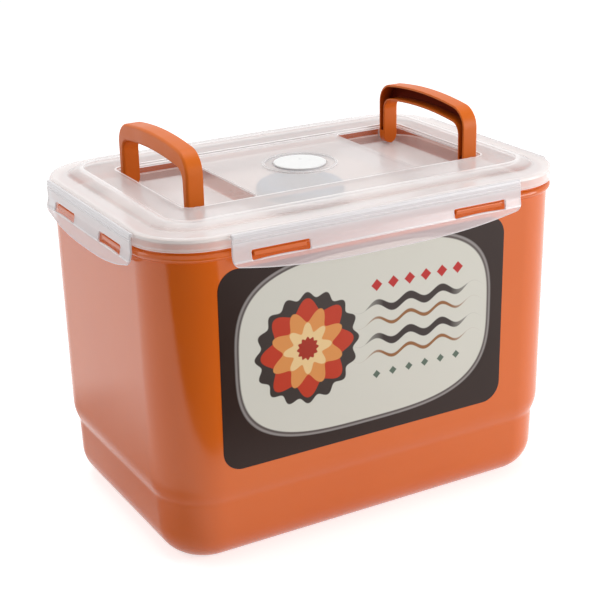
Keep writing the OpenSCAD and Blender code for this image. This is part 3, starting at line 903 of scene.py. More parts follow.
def catch_tree():
    """The tree: bars on the points of a line, and the same bars turned half a turn."""
    tree, sockets = geometry_tree(
        "catch bars on opposite sides",
        (("Bar", "NodeSocketGeometry"), ("First Place", "NodeSocketVector"), ("Step", "NodeSocketVector"),
         ("Turn", "NodeSocketVector"), ("Finish", "NodeSocketMaterial")),
        "Bars")
    given = tree.nodes.new("NodeGroupInput")
    out = tree.nodes.new("NodeGroupOutput")
    places = tree.nodes.new("GeometryNodeMeshLine")
    places.inputs["Count"].default_value = BARS_ON_A_SIDE
    bars = tree.nodes.new("GeometryNodeInstanceOnPoints")
    near = tree.nodes.new("GeometryNodeTransform")
    far = tree.nodes.new("GeometryNodeTransform")
    far.inputs["Rotation"].default_value = (0, 0, math.pi)
    join = tree.nodes.new("GeometryNodeJoinGeometry")
    realize = tree.nodes.new("GeometryNodeRealizeInstances")
    paint = tree.nodes.new("GeometryNodeSetMaterial")
    for source, target in ((given.outputs["First Place"], places.inputs["Start Location"]),
                           (given.outputs["Step"], places.inputs["Offset"]),
                           (places.outputs["Mesh"], bars.inputs["Points"]),
                           (given.outputs["Bar"], bars.inputs["Instance"]),
                           (bars.outputs["Instances"], near.inputs["Geometry"]),
                           (given.outputs["Turn"], near.inputs["Rotation"]),
                           (near.outputs["Geometry"], far.inputs["Geometry"]),
                           (near.outputs["Geometry"], join.inputs["Geometry"]),
                           (far.outputs["Geometry"], join.inputs["Geometry"]),
                           (join.outputs["Geometry"], realize.inputs["Geometry"]),
                           (realize.outputs["Geometry"], paint.inputs["Geometry"]),
                           (given.outputs["Finish"], paint.inputs["Material"]),
                           (paint.outputs["Geometry"], out.inputs["Bars"])):
        tree.links.new(source, target)
    return tree, sockets


CATCH, CATCH_SOCKETS = catch_tree()
print("catch bar inputs:", list(CATCH_SOCKETS))

# %% [markdown]
# One bar is drawn for the front edge with round ends and edges, as a tool cut by a ball-nosed cutter leaves
# it. The tree does the rest, once for the long sides and once for the short ones. The bars then join the
# tub, because they are moulded with it.

# %% The catch bars
CATCH_LOW = 233.45
CATCH_HIGH = 237.05
CATCH_TIP = 47.385
CATCH_EDGE = 0.8
CATCH_EDGE_STEPS = 4
CATCH_ROOT = 41.6


def catch_bar(length):
    """One rounded bar, its root at the origin, pointing out of the front."""
    bm = bmesh.new()
    bmesh.ops.create_cube(bm, size=1)
    reach = CATCH_TIP - CATCH_ROOT
    for vert in bm.verts:
        across = vert.co.x * length
        vert.co = Vector((across, (vert.co.y - 0.5) * reach, vert.co.z * (CATCH_HIGH - CATCH_LOW))) * MM
    bmesh.ops.bevel(bm, geom=bm.edges[:], offset=CATCH_EDGE * MM, segments=CATCH_EDGE_STEPS,
                    profile=0.5, affect="EDGES")
    return as_object("catch_bar", bm)


def catch_pair(side, reach):
    """The bars of one side and of the side across from it."""
    bars = catch_bar(CATCH_LENGTH[side])
    middle = (CATCH_LOW + CATCH_HIGH) / 2
    set_inputs(bars.modifiers.new("catch bars", "NODES"), CATCH, CATCH_SOCKETS, {
        "First Place": Vector((-CATCH_PLACE[side], -reach - CATCH_ROOT, middle)) * MM,
        "Step": Vector((2 * CATCH_PLACE[side], 0, 0)) * MM,
        "Turn": (0, 0, math.radians(SIDES[side])),
        "Finish": clay_plastic,
    })
    return settle(bars)


def join_into(target, parts):
    """Adds the meshes of other objects to a piece and removes them."""
    bm = bmesh.new()
    bm.from_mesh(target.data)
    for part in parts:
        bm.from_mesh(part.data)
        bpy.data.objects.remove(part)
    bm.to_mesh(target.data)
    bm.free()


join_into(tub, [catch_pair("front", CORE_Y), catch_pair("right", CORE_X)])
finish_piece(tub, "tub", "tub", clay_plastic)

# %% [markdown]
# Thin plates with round edges turn up several times: the label, and each of the four flaps.
# A plate is drawn flat from its outline and its holes. Each outline is repeated a little smaller on both
# faces to round the edge, the faces are filled, and straight cuts add rows where the plate will bend. A
# mapping then wraps the flat plate onto its place. This keeps slots exact and edges even, which a bevel
# cannot promise.

# %% Plates with round edges
CUT_REACH = 1e-7


def inset(outline, distance):
    """An anticlockwise outline moved inwards along its normals."""
    moved = []
    count = len(outline)
    for i, (x, y) in enumerate(outline):
        ahead = outline[(i + 1) % count]
        behind = outline[i - 1]
        along = Vector((ahead[0] - behind[0], ahead[1] - behind[1])).normalized()
        moved.append((x - along.y * distance, y + along.x * distance))
    return moved


def plate(outline, holes, thick, edge, steps, rows=()):
    """A flat plate in (along, up, outward), outward from 0 to its thickness, cut at the given heights."""
    bm = bmesh.new()
    levels = []
    for i in range(steps + 1):
        a = math.radians(90 * i / steps)
        levels.append((edge * (1 - math.sin(a)), edge * (1 - math.cos(a))))
    levels += [(set_in, thick - depth) for set_in, depth in reversed(levels)]
    inner = []
    outer = []
    for shape, grow in [(outline, 1)] + [(hole, -1) for hole in holes]:
        points = [[(x, y, depth) for x, y in inset(shape, grow * set_in)] for set_in, depth in levels]
        made = loft(bm, points)
        inner.append(made[0])
        outer.append(made[-1])
    fill_between(bm, inner)
    fill_between(bm, outer)
    for height in rows:
        everything = bm.verts[:] + bm.edges[:] + bm.faces[:]
        bmesh.ops.bisect_plane(bm, geom=everything, dist=CUT_REACH,
                               plane_co=(0, height * MM, 0), plane_no=(0, 1, 0))
    return bm


def wrap(bm, mapping):
    """Moves every point of a plate by a mapping from (along, up, outward) to its place, in millimetres."""
    for vert in bm.verts:
        vert.co = Vector(mapping(*(vert.co / MM))) * MM


print("plates are cut within", CUT_REACH, "metres of their rows")

# %% [markdown]
# The label is a printed film that lies on the upper wall. Its left end reaches just onto a round corner of
# the tub, so the mapping follows the wall in plan as well as its slight slope.

# %% The label film
LABEL_LOW = (-128.3, 76.5)
LABEL_HIGH = (108.3, 225.6)
LABEL_CORNER = 15.0
LABEL_CORNER_STEPS = 14
LABEL_THICK = 0.3
LABEL_EDGE = 0.12
LABEL_EDGE_STEPS = 2
LABEL_OFF = 0.05


def on_front_wall(x, z, outward):
    """A point on the front wall of the tub."""
    beyond = max(0.0, abs(x) - CORE_X)
    radius = wall_out(z) + LABEL_OFF + outward
    return (x, -CORE_Y - math.sqrt(radius ** 2 - beyond ** 2), z)


label_outline = round_rectangle(LABEL_LOW, LABEL_HIGH, LABEL_CORNER, LABEL_CORNER_STEPS)
label_bm = plate(label_outline, [], LABEL_THICK, LABEL_EDGE, LABEL_EDGE_STEPS)
wrap(label_bm, on_front_wall)
label = as_object("label_film", label_bm)
print("label faces:", len(label.data.polygons))

# %% [markdown]
# The lid is one thin skin. Its edge runs from the skirt over a round shoulder to a flat ledge, up a soft
# slope to the raised platform, and down into a shallow field that holds two handle pockets and the vent.
# Each band is a loop of the keeper's own shape or a rounded rectangle, so the skin is lofted loop by loop.
# Along each flap the shoulder has a groove for the hinge bead, so the edge is first divided into stations
# that know whether a hinge runs past them.

# %% Stations round the lid
GROOVE_FADE = 0.8
TURN_SIDES = ("right", "back", "left", "front")
CORE_CORNERS = ((CORE_X, CORE_Y), (-CORE_X, CORE_Y), (-CORE_X, -CORE_Y), (CORE_X, -CORE_Y))


def half_core(side):
    """Half the straight run of a side."""
    return CORE_X if side in ("front", "back") else CORE_Y


def groove_axis(side, lean):
    """Distance of a hinge axis in a direction that leans from its side, or None past the flap's end."""
    beyond = HINGE_OUT * math.tan(math.radians(lean))
    if beyond > FLAP_LENGTH[side] / 2 + GROOVE_FADE - half_core(side):
        return None
    return HINGE_OUT / math.cos(math.radians(lean))


def lid_stations():
    """Stations round the lid: a core point, an outward direction, and a hinge's distance or None."""
    stations = []
    for turn, corner in enumerate(CORE_CORNERS):
        before = TURN_SIDES[turn]
        after = TURN_SIDES[(turn + 1) % len(TURN_SIDES)]
        for i in range(CORNER_STEPS + 1):
            lean = 90 * i / CORNER_STEPS
            angle = math.radians(90 * turn + lean)
            axis = groove_axis(before, lean) if lean < 45 else groove_axis(after, 90 - lean)
            stations.append((corner, (math.cos(angle), math.sin(angle)), axis))
        half = FLAP_LENGTH[after] / 2
        if half_core(after) - half > GROOVE_FADE:
            angle = math.radians(90 * turn + 90)
            out = (math.cos(angle), math.sin(angle))
            reach = CORE_X + CORE_Y - half_core(after)
            first = ((-half - GROOVE_FADE, None), (-half, HINGE_OUT))
            last = ((half, HINGE_OUT), (half + GROOVE_FADE, None))
            for place, axis in first + last:
                core = (out[0] * reach - out[1] * place, out[1] * reach + out[0] * place)
                stations.append((core, out, axis))
    return stations


STATIONS = lid_stations()
print("lid stations:", len(STATIONS))

# %% [markdown]
# From the platform a slope runs down to a ledge, and a round shoulder turns from the ledge into the skirt.
# Rims and the foot of the slope gather light in the frosting, and every row has its own veil: a painted
# highlight on the rims, the slope's foot, the shoulder and the skirt, little on the plain slope between,
# and a faint painted rose tint just above the foot. Where a hinge runs, the shoulder is pushed clear of it.

# %% The slope and the shoulder of the lid
SKIRT_OUT = 46.0
LEDGE_Z = 252.0
SHOULDER_R = 3.0
SHOULDER_STEPS = 12
SKIRT_DROPS = (1.2, 1.6, 2.0)
GROOVE_R = 1.75
SLOPE_STEPS = 10
SLOPE_POWER = 1.7
SLOPE_VEIL = (
    (0.0, 0.9), (0.1, 0.6), (0.25, 0.2), (0.6, 0.06), (0.85, -0.06), (0.95, 0.0), (1.08, 0.35))
SLOPE_FOOT_ROUND = ((0.95, 0.095), (1.0, 0.03), (1.05, 0.007), (1.1, 0.0))


def shoulder(axis):
    """The outer edge from the ledge down to the skirt, pushed clear of a hinge bead where one runs."""
    points = arc((SKIRT_OUT - SHOULDER_R, LEDGE_Z - SHOULDER_R), SHOULDER_R, 90, 0, SHOULDER_STEPS)
    points += [(SKIRT_OUT, HINGE_Z - drop) for drop in SKIRT_DROPS]
    if axis is None:
        return points
    pushed = []
    for out, z in points:
        gap = Vector((out - axis, z - HINGE_Z))
        if gap.length < GROOVE_R:
            gap = gap.normalized() * GROOVE_R
        pushed.append((axis + gap.x, HINGE_Z + gap.y))
    return pushed


def between(knots, at):
    """The value at a place along knots of (place, value)."""
    for (first, low), (second, high) in zip(knots, knots[1:]):
        if at <= second:
            return low + (high - low) * max(0.0, (at - first) / (second - first))
    return knots[-1][1]


def slope_rows():
    """Share of the slope's width, share of its height and veil, from the platform's edge to the ledge."""
    rows = [(i / SLOPE_STEPS, 1 - (i / SLOPE_STEPS) ** SLOPE_POWER) for i in range(SLOPE_STEPS)]
    return [(t, rise, between(SLOPE_VEIL, t)) for t, rise in rows + list(SLOPE_FOOT_ROUND)]


print("rows on the slope:", len(slope_rows()), "points on the shoulder:", len(shoulder(None)))

# %% [markdown]
# Each station has the same number of points in its outline, so the first points of all stations make one
# loop, the second points the next one, and so on down to the skirt's foot.

# %% The edge of the lid
PLAT_OUT = 21.0
PLAT_Z = 256.5
PLATFORM_EDGE = ((-1.7, 0.0), (-0.9, 0.9))
SLOPE_FOOT = 32.0
SHOULDER_VEIL = 0.4
SKIRT_Z = 242.0
SKIRT_VEIL = 0.15
SKIRT_EDGE = 0.6
SKIRT_EDGE_TURN = 60
SKIRT_FOOT_STEPS = 3


def edge_profile(axis):
    """(distance, height) points from the platform to the skirt's foot."""
    wide = SLOPE_FOOT - PLAT_OUT
    points = [(PLAT_OUT + out, PLAT_Z) for out, veil in PLATFORM_EDGE]
    points += [(PLAT_OUT + wide * t, LEDGE_Z + (PLAT_Z - LEDGE_Z) * rise) for t, rise, veil in slope_rows()]
    centre = (SKIRT_OUT - SKIRT_EDGE, SKIRT_Z + SKIRT_EDGE)
    foot = arc(centre, SKIRT_EDGE, 0, -SKIRT_EDGE_TURN, SKIRT_FOOT_STEPS)
    return points + shoulder(axis) + foot


def edge_veils():
    """How white each point of the edge's outline looks."""
    veils = [veil for out, veil in PLATFORM_EDGE] + [veil for t, rise, veil in slope_rows()]
    skirt = len(SKIRT_DROPS) + SKIRT_FOOT_STEPS + 1
    return veils + [SHOULDER_VEIL] * (SHOULDER_STEPS + 1) + [SKIRT_VEIL] * skirt


def edge_loop(index):
    """One loop of the lid's edge, from the same point of every station's profile."""
    loop = []
    for (core, out, axis), profile in zip(STATIONS, PROFILES):
        distance, height = profile[index]
        loop.append((core[0] + out[0] * distance, core[1] + out[1] * distance, height))
    return loop


PROFILES = [edge_profile(axis) for core, out, axis in STATIONS]
EDGE_POINTS = len(PROFILES[0])
print("lid edge:", len(STATIONS), "stations of", EDGE_POINTS, "points")

# %% [markdown]
# The field is 1.3 mm below the platform, and two pockets at its ends take the folded handles. A pocket is a
# stack of shrinking loops with a round top edge, slightly leaning walls and a round floor edge, as anything
# that has to leave a mould has.

# %% The field and its pockets
PANEL_Z = 255.2
FIELD_HALF = (125.5, 63.0)
FIELD_R = 8.0
FIELD_STEPS = 12
POCKET_X = 67.5
POCKET_Z = 242.5
POCKET_R = 7.0
POCKET_IN = 1.45
POCKET_EDGE = 0.8
POCKET_EDGE_STEPS = 4
POCKET_LEAN = 0.4
POCKET_FLOOR_EDGE = 2.5
POCKET_FLOOR_STEPS = 6


def field_loop(grow, z):
    """A loop round the field."""
    low = (-FIELD_HALF[0] - grow, -FIELD_HALF[1] - grow)
    high = (FIELD_HALF[0] + grow, FIELD_HALF[1] + grow)
    return [(x, y, z) for x, y in round_rectangle(low, high, FIELD_R + grow, FIELD_STEPS)]


def pocket_loop(side, shrink, z):
    """A loop round one pocket; side is 1 for the right end and -1 for the left."""
    near = side * (POCKET_X + shrink)
    far = side * (FIELD_HALF[0] - POCKET_IN - shrink)
    wide = FIELD_HALF[1] - POCKET_IN - shrink
    low = (min(near, far), -wide)
    high = (max(near, far), wide)
    return [(x, y, z) for x, y in round_rectangle(low, high, POCKET_R - shrink, FIELD_STEPS)]


def pocket_cup(side):
    """Loops from the pocket's top edge to its floor."""
    rim = arc((-POCKET_EDGE, PANEL_Z - POCKET_EDGE), POCKET_EDGE, 90, 0, POCKET_EDGE_STEPS)
    centre = (POCKET_FLOOR_EDGE, POCKET_Z + POCKET_FLOOR_EDGE)
    foot = arc(centre, POCKET_FLOOR_EDGE, 180, 270, POCKET_FLOOR_STEPS)
    loops = [pocket_loop(side, shrink, z) for shrink, z in rim]
    return loops + [pocket_loop(side, POCKET_LEAN + shrink, z) for shrink, z in foot]


print("pocket loops:", len(pocket_cup(1)))

# %% [markdown]
# A round recess in the middle of the field takes the vent cap inside a low moulded ring. Ring and recess
# are one outline of radius and height, so circles are enough to draw them.

# %% The vent recess
VENT_RECESS = 20.6
VENT_FLOOR = 254.0
VENT_RING = (26.9, 28.9)
VENT_RING_Z = 256.0
VENT_RING_EDGE = 0.45
VENT_RING_FOOT = (0.3, 0.25)
VENT_EDGE_STEPS = 3
VENT_RECESS_EDGE = 0.4
VENT_FLOOR_EDGE = 0.2


def vent_loops():
    """Loops from outside the moulded ring to the floor of the vent recess."""
    inner, outer = VENT_RING
    foot_out, foot_up = VENT_RING_FOOT
    soft = VENT_RING_EDGE
    outline = [(outer + foot_out, PANEL_Z), (outer, PANEL_Z + foot_up)]
    outline += arc((outer - soft, VENT_RING_Z - soft), soft, 0, 90, VENT_EDGE_STEPS)
    outline += arc((inner + soft, VENT_RING_Z - soft), soft, 90, 180, VENT_EDGE_STEPS)
    outline += [(inner, PANEL_Z + foot_up), (inner - foot_out, PANEL_Z)]
    outline += [(VENT_RECESS + VENT_RECESS_EDGE, PANEL_Z), (VENT_RECESS, PANEL_Z - VENT_RECESS_EDGE)]
    outline += [(VENT_RECESS, VENT_FLOOR + VENT_FLOOR_EDGE), (VENT_RECESS - VENT_FLOOR_EDGE, VENT_FLOOR)]
    return [circle(radius, z) for radius, z in outline]


print("vent loops:", len(vent_loops()))

# %% [markdown]
# A pale line runs round the field where the platform ends, and from it a round edge drops to the field's
# floor. The line is a painted highlight: a band of veil on the flat platform, with no relief. Small
# helpers set the veil on loops of vertices, because the lid sets it in many places.

# %% The field's rim and setting the veil
FIELD_EDGE = 0.5
FIELD_EDGE_STEPS = 4
FIELD_LINE = ((2.2, 0.0), (1.4, 0.9))


def field_rim():
    """Rows of (growth, height) from the painted pale line round the field down to its floor."""
    line = [(grow, PLAT_Z) for grow, veil in FIELD_LINE]
    drop = arc((FIELD_EDGE, PLAT_Z - FIELD_EDGE), FIELD_EDGE, 90, 180, FIELD_EDGE_STEPS)
    foot = arc((-FIELD_EDGE, PANEL_Z + FIELD_EDGE), FIELD_EDGE, 0, -90, FIELD_EDGE_STEPS)
    return line + drop + foot


def set_veil(layer, loops, veil):
    """Sets one veil for loops of vertices."""
    for verts in loops:
        for vert in verts:
            vert[layer] = veil


def set_veils(layer, loops, veils):
    """Sets the veil of loops of vertices, one value for each loop."""
    for verts, veil in zip(loops, veils):
        set_veil(layer, [verts], veil)


def past(loops, x):
    """The vertices of loops that lie further out than a place along the lid, as one loop."""
    return [[vert for verts in loops for vert in verts if abs(vert.co.x) > x * MM]]


print("rows on the field's rim:", len(field_rim()))

# %% [markdown]
# The skin is now lofted and filled: the platform between the edge and the pale line, and the field between
# its rim and the three openings. Each row gets its veil on the way. Rims get a painted highlight, upright
# walls are clear with a painted rose tint, and the floors of the pockets lie between the two.

# %% The lid's skin
FIELD_VEIL = 0.9
POCKET_RIM_ROWS = slice(1, 4)
POCKET_WALL_ROWS = slice(4, 9)
POCKET_FLOOR_ROWS = slice(9, 12)
POCKET_WALL_VEIL = -0.16
POCKET_END_VEIL = 0.25
POCKET_FLOOR_VEIL = 0.15


def lid_skin():
    """The whole skin, with its veil."""
    bm = bmesh.new()
    layer = painted_light_layer(bm)
    edge = loft(bm, [edge_loop(i) for i in range(EDGE_POINTS)])
    set_veils(layer, edge, edge_veils())
    field = loft(bm, [field_loop(grow, z) for grow, z in field_rim()])
    set_veils(layer, field, [veil for grow, veil in FIELD_LINE])
    set_veil(layer, field[len(FIELD_LINE):-1], FIELD_VEIL)
    pockets = [loft(bm, pocket_cup(side), cap_last=True) for side in (-1, 1)]
    pocket_end = FIELD_HALF[0] - POCKET_IN - POCKET_R / 2
    for pocket in pockets:
        set_veil(layer, pocket[POCKET_RIM_ROWS], FIELD_VEIL)
        set_veil(layer, pocket[POCKET_WALL_ROWS], POCKET_WALL_VEIL)
        set_veil(layer, pocket[POCKET_FLOOR_ROWS], POCKET_FLOOR_VEIL)
        set_veil(layer, past(pocket[POCKET_RIM_ROWS], pocket_end), POCKET_END_VEIL)
    rims = [field[-1]] + [pocket[0] for pocket in pockets]
    set_veil(layer, past(rims, POCKET_X + POCKET_R), FIELD_VEIL)
    vent = loft(bm, vent_loops(), cap_last=True)
    fill_between(bm, [edge[0], field[0]])
    fill_between(bm, [field[-1], vent[0]] + [pocket[0] for pocket in pockets])
    return bm


lid = as_object("lid_shell_frosted", lid_skin())
upward = sum(face.normal.z * face.area for face in lid.data.polygons)
print("lid skin faces up:", upward > 0)

# %% [markdown]
# The skin now gets its wall. A solidify modifier grows it inwards by an even thickness. Under the ledge a
# plug wall reaches into the tub and locates the seal, and four bosses in the pockets carry the handle pins.
# They are drawn as closed rings and drums that run into the skin.

# %% The lid's wall, plug and pivot bosses
LID_WALL = 2.2
PLUG_OUT = 38.6
PLUG_VEIL = -0.3
PLUG_Z = 240.8
PLUG_EDGE = 0.8
PLUG_SUNK = 0.4
DRUM_EDGE_STEPS = 3
UNDER_Z = 249.8
HANDLE_X = 115.6
PIVOT_Z = 249.7
BOSS_R = 6.0
BOSS_EDGE = 0.5
BOSS_STEPS = 40
BOSS_Y = (59.3, 62.6)


def drum(bm, x, y_low, y_high, z, radius, edge, steps):
    """A drum lying along Y with round edges."""
    outline = arc((radius - edge, y_low + edge), edge, -90, 0, DRUM_EDGE_STEPS)
    outline += arc((radius - edge, y_high - edge), edge, 0, 90, DRUM_EDGE_STEPS)
    around = arc((0, 0), 1, 0, 360, steps)[:-1]
    loops = [[(x + r * c, y, z + r * s) for c, s in around] for r, y in outline]
    loft(bm, loops, cap_first=True, cap_last=True)


def pivot_bosses():
    """Four drums, at both ends of both pockets."""
    bm = bmesh.new()
    near, far = BOSS_Y
    for sx in (-1, 1):
        drum(bm, sx * HANDLE_X, near, far, PIVOT_Z, BOSS_R, BOSS_EDGE, BOSS_STEPS)
        drum(bm, sx * HANDLE_X, -far, -near, PIVOT_Z, BOSS_R, BOSS_EDGE, BOSS_STEPS)
    return as_object("pivot_bosses", bm)


def plug_wall():
    """The closed ring under the ledge, clearer than the lid and painted rose by its negative veil."""
    inside = PLUG_OUT - LID_WALL
    low = PLUG_Z + PLUG_EDGE
    top = UNDER_Z + PLUG_SUNK
    outline = arc((PLUG_OUT - PLUG_EDGE, low), PLUG_EDGE, 0, -90, DRUM_EDGE_STEPS)
    outline += arc((inside + PLUG_EDGE, low), PLUG_EDGE, -90, -180, DRUM_EDGE_STEPS)
    plug = swept("plug_wall", outline + [(inside, top), (PLUG_OUT, top)], frosted_plastic, closed=True)
    veil = plug.data.attributes.new(PAINTED_LIGHT_MARK, "FLOAT", "POINT")
    veil.data.foreach_set("value", [PLUG_VEIL] * len(plug.data.vertices))
    return plug


wall = lid.modifiers.new("wall", "SOLIDIFY")
wall.thickness = LID_WALL * MM
wall.offset = -1
wall.use_quality_normals = True
settle(lid)
join_into(lid, [plug_wall(), pivot_bosses()])
finish_piece(lid, "lid_shell", "lid", frosted_plastic)

# %% [markdown]
# Four flaps hang from the lid and snap over the catch bars. Each is a thin curved plate: upright at the
# hinge, bending outwards from the slots to a lip that a thumb lifts, with a lower edge that bellies down in
# the middle. The flat outline comes first, with its two slots, whose lower edges arch up a little.

# %% The flap's outline and slots
FLAP_END_Z = 227.85
FLAP_BELLY = 7.8
BELLY_POWER = 2.7
BELLY_STEPS = 24
FLAP_CORNER = 6.0
FLAP_CORNER_TURN = 75
FLAP_CORNER_STEPS = 8
FLAP_TOP_Z = 249.8
FLAP_TOP_CORNER = 3.0
FLAP_TOP_STEPS = 6
SLOT_TOP = 238.55
SLOT_LOW = 231.45
SLOT_R = 1.5
SLOT_ARCH = 0.7
SLOT_CORNER_STEPS = 6
SLOT_ARCH_STEPS = 16


def flap_outline(length):
    """Anticlockwise outline in (along, height)."""
    half = length / 2
    straight = half - FLAP_CORNER
    corner_z = FLAP_END_Z + FLAP_CORNER
    top = half - FLAP_TOP_CORNER
    top_z = FLAP_TOP_Z - FLAP_TOP_CORNER
    left_low = arc((-straight, corner_z), FLAP_CORNER, 180, 180 + FLAP_CORNER_TURN, FLAP_CORNER_STEPS)
    belly = []
    for i in range(1 - BELLY_STEPS, BELLY_STEPS):
        t = i / BELLY_STEPS
        belly.append((t * straight, FLAP_END_Z - FLAP_BELLY * (1 - abs(t) ** BELLY_POWER)))
    right_low = arc((straight, corner_z), FLAP_CORNER, 360 - FLAP_CORNER_TURN, 360, FLAP_CORNER_STEPS)
    right_top = arc((top, top_z), FLAP_TOP_CORNER, 0, 90, FLAP_TOP_STEPS)
    left_top = arc((-top, top_z), FLAP_TOP_CORNER, 90, 180, FLAP_TOP_STEPS)
    return left_low + belly + right_low + right_top + left_top


def slot_outline(centre, length):
    """A slot whose lower edge arches up a little in the middle."""
    low = (centre - length / 2, SLOT_LOW)
    high = (centre + length / 2, SLOT_TOP)
    shape = round_rectangle(low, high, SLOT_R, SLOT_CORNER_STEPS)
    arched = []
    for k in range(1, SLOT_ARCH_STEPS):
        t = k / SLOT_ARCH_STEPS
        x = centre + (t - 0.5) * (length - 2 * SLOT_R)
        arched.append((x, SLOT_LOW + SLOT_ARCH * math.sin(math.pi * t)))
    lower_left = len(shape) * 3 // 4
    return shape[:lower_left] + arched + shape[lower_left:]


print("front flap outline points:", len(flap_outline(FLAP_LENGTH["front"])))

# %% [markdown]
# One fine groove under the hinge bead thins the plastic where the flap flexes. The plate is cut in rows
# wherever its bend, the groove or its veil changes, because a flat face cannot follow a curve. The bead is
# a bar on the hinge axis, so the flap turns about the middle of it.

# %% The flap's bend and hinge bead
FLAP_IN = 46.35
BEND_OUT = 47.835
BEND_POWER = 1.4
BEND_ROWS = 5
LIP_OUT = 49.05
FLEX_Z = 246.6
FLEX_DEEP = 0.35
FLEX_HALF = 0.6
FLEX_ROWS = 3
FLAP_VEIL = (
    (221, -0.06), (230.9, -0.06), (231.45, 0.9), (232.0, 0.9), (232.6, 0.25), (244.6, 0.35), (245.1, 0.05),
    (245.4, 0.05), (245.8, 0.5), (246.2, 0.5), (246.6, 0.0), (247.2, 0.5), (249.8, 0.5))
HINGE_BAR_R = 1.5
HINGE_BAR_EDGE = 0.8
HINGE_BAR_EDGE_STEPS = 4
HINGE_BAR_STEPS = 24


def flap_bend(z):
    """Distance of the flap's inner face from the core at a height."""
    if z >= SLOT_TOP:
        return FLAP_IN
    if z >= SLOT_LOW:
        t = (SLOT_TOP - z) / (SLOT_TOP - SLOT_LOW)
        return FLAP_IN + (BEND_OUT - FLAP_IN) * t ** BEND_POWER
    t = (SLOT_LOW - z) / (SLOT_LOW - FLAP_END_Z + FLAP_BELLY)
    return BEND_OUT + (LIP_OUT - BEND_OUT) * t


def groove_depth(z):
    """How deep the flex groove is at a height."""
    return FLEX_DEEP * max(0.0, 1 - ((z - FLEX_Z) / FLEX_HALF) ** 2)


def flap_rows():
    """Heights at which the plate is cut so that it can bend."""
    rows = [SLOT_TOP, SLOT_LOW]
    rows += [SLOT_LOW + (SLOT_TOP - SLOT_LOW) * i / BEND_ROWS for i in range(1, BEND_ROWS)]
    rows += [FLEX_Z + FLEX_HALF * i / FLEX_ROWS for i in range(-FLEX_ROWS, FLEX_ROWS + 1)]
    rows += [z for z, veil in FLAP_VEIL[1:-1]]
    return sorted(set(rows))


def hinge_bar(bm, length):
    """The bead on the hinge axis, with round ends."""
    half = length / 2
    edge = HINGE_BAR_EDGE
    outline = arc((HINGE_BAR_R - edge, -half + edge), edge, -90, 0, HINGE_BAR_EDGE_STEPS)
    outline += arc((HINGE_BAR_R - edge, half - edge), edge, 0, 90, HINGE_BAR_EDGE_STEPS)
    around = arc((0, 0), 1, 0, 360, HINGE_BAR_STEPS)[:-1]
    loops = [[(x, HINGE_Z + r * s, HINGE_OUT + r * c) for c, s in around] for r, x in outline]
    return loft(bm, loops, cap_first=True, cap_last=True)


print("flap rows:", len(flap_rows()))

# %% [markdown]
# Each flap is drawn flat by the plate helper, bent by a mapping, given its bead and turned to its side. The
# veil runs in bands by height: a painted highlight along the slots' lower edge, on both sides of the groove
# and on the hinge bead, and on the lip clear plastic with a faint painted rose tint.

# %% The flaps
FLAP_THICK = 1.8
FLAP_EDGE = 0.7
FLAP_EDGE_STEPS = 4
SLOT_EXTRA = 4.0
HINGE_BAR_VEIL = 0.8


def make_flap(side):
    """One flap: drawn flat, bent, given its hinge bead and turned to its side."""
    length = FLAP_LENGTH[side]
    reach = CORE_Y if side in ("front", "back") else CORE_X
    slots = [slot_outline(s * CATCH_PLACE[side], CATCH_LENGTH[side] + SLOT_EXTRA) for s in (-1, 1)]
    bm = plate(flap_outline(length), slots, FLAP_THICK, FLAP_EDGE, FLAP_EDGE_STEPS, flap_rows())

    def bent(x, z, outward):
        groove = groove_depth(z) * outward / FLAP_THICK
        return (x, z, flap_bend(z) + outward - groove)

    layer = painted_light_layer(bm)
    for vert in bm.verts:
        vert[layer] = between(FLAP_VEIL, vert.co.y / MM)
    wrap(bm, bent)
    set_veil(layer, hinge_bar(bm, length), HINGE_BAR_VEIL)
    wrap(bm, lambda x, z, out: (x, -reach - out, z))
    turned(bm, SIDES[side])
    flap = as_object(f"flap_{side}_frosted", bm)
    finish_piece(flap, f"flap_{side}", f"flap_{side}", flap_plastic)


for flap_side in SIDES:
    make_flap(flap_side)

# %% [markdown]
# Two carrying handles stand in the pockets and fold down flat. Each is an arch with a C-shaped section: a
# solid face outboard and a hollow channel inboard, because a thick solid grip would sink as it cools.

# %% The handle's arch and section
GRIP_THICK = 13.0
HANDLE_HALF_W = 6.5
HANDLE_WALL = 1.6
CHANNEL_CORNER = (0.3, 0.6, 0.9)
OUTER_EDGE = 2.2
OUTER_EDGE_STEPS = 5
RIM_EDGE = 0.5
RIM_EDGE_STEPS = 3
GRIP_CORNER_STEPS = 14
GRIP_CROWN_STEPS = 16


def arch(half, top, corner, crown):
    """Upper half of an arch in (across, height): right leg's top, corner, crown middle."""
    middle = top - crown
    cy = half - corner
    cz = middle + math.sqrt((crown - corner) ** 2 - cy ** 2)
    lean = math.degrees(math.atan2(cz - middle, cy))
    side = arc((cy, cz), corner, 0, lean, GRIP_CORNER_STEPS)
    return side + arc((0, middle), crown, lean, 90, GRIP_CROWN_STEPS)[1:]


def legs_and_arch(points, foot_rows):
    """A whole arch from the right foot over to the left foot."""
    right = [(points[0][0], z) for z in foot_rows] + points
    return right + [(-y, z) for y, z in reversed(right[:-1])]


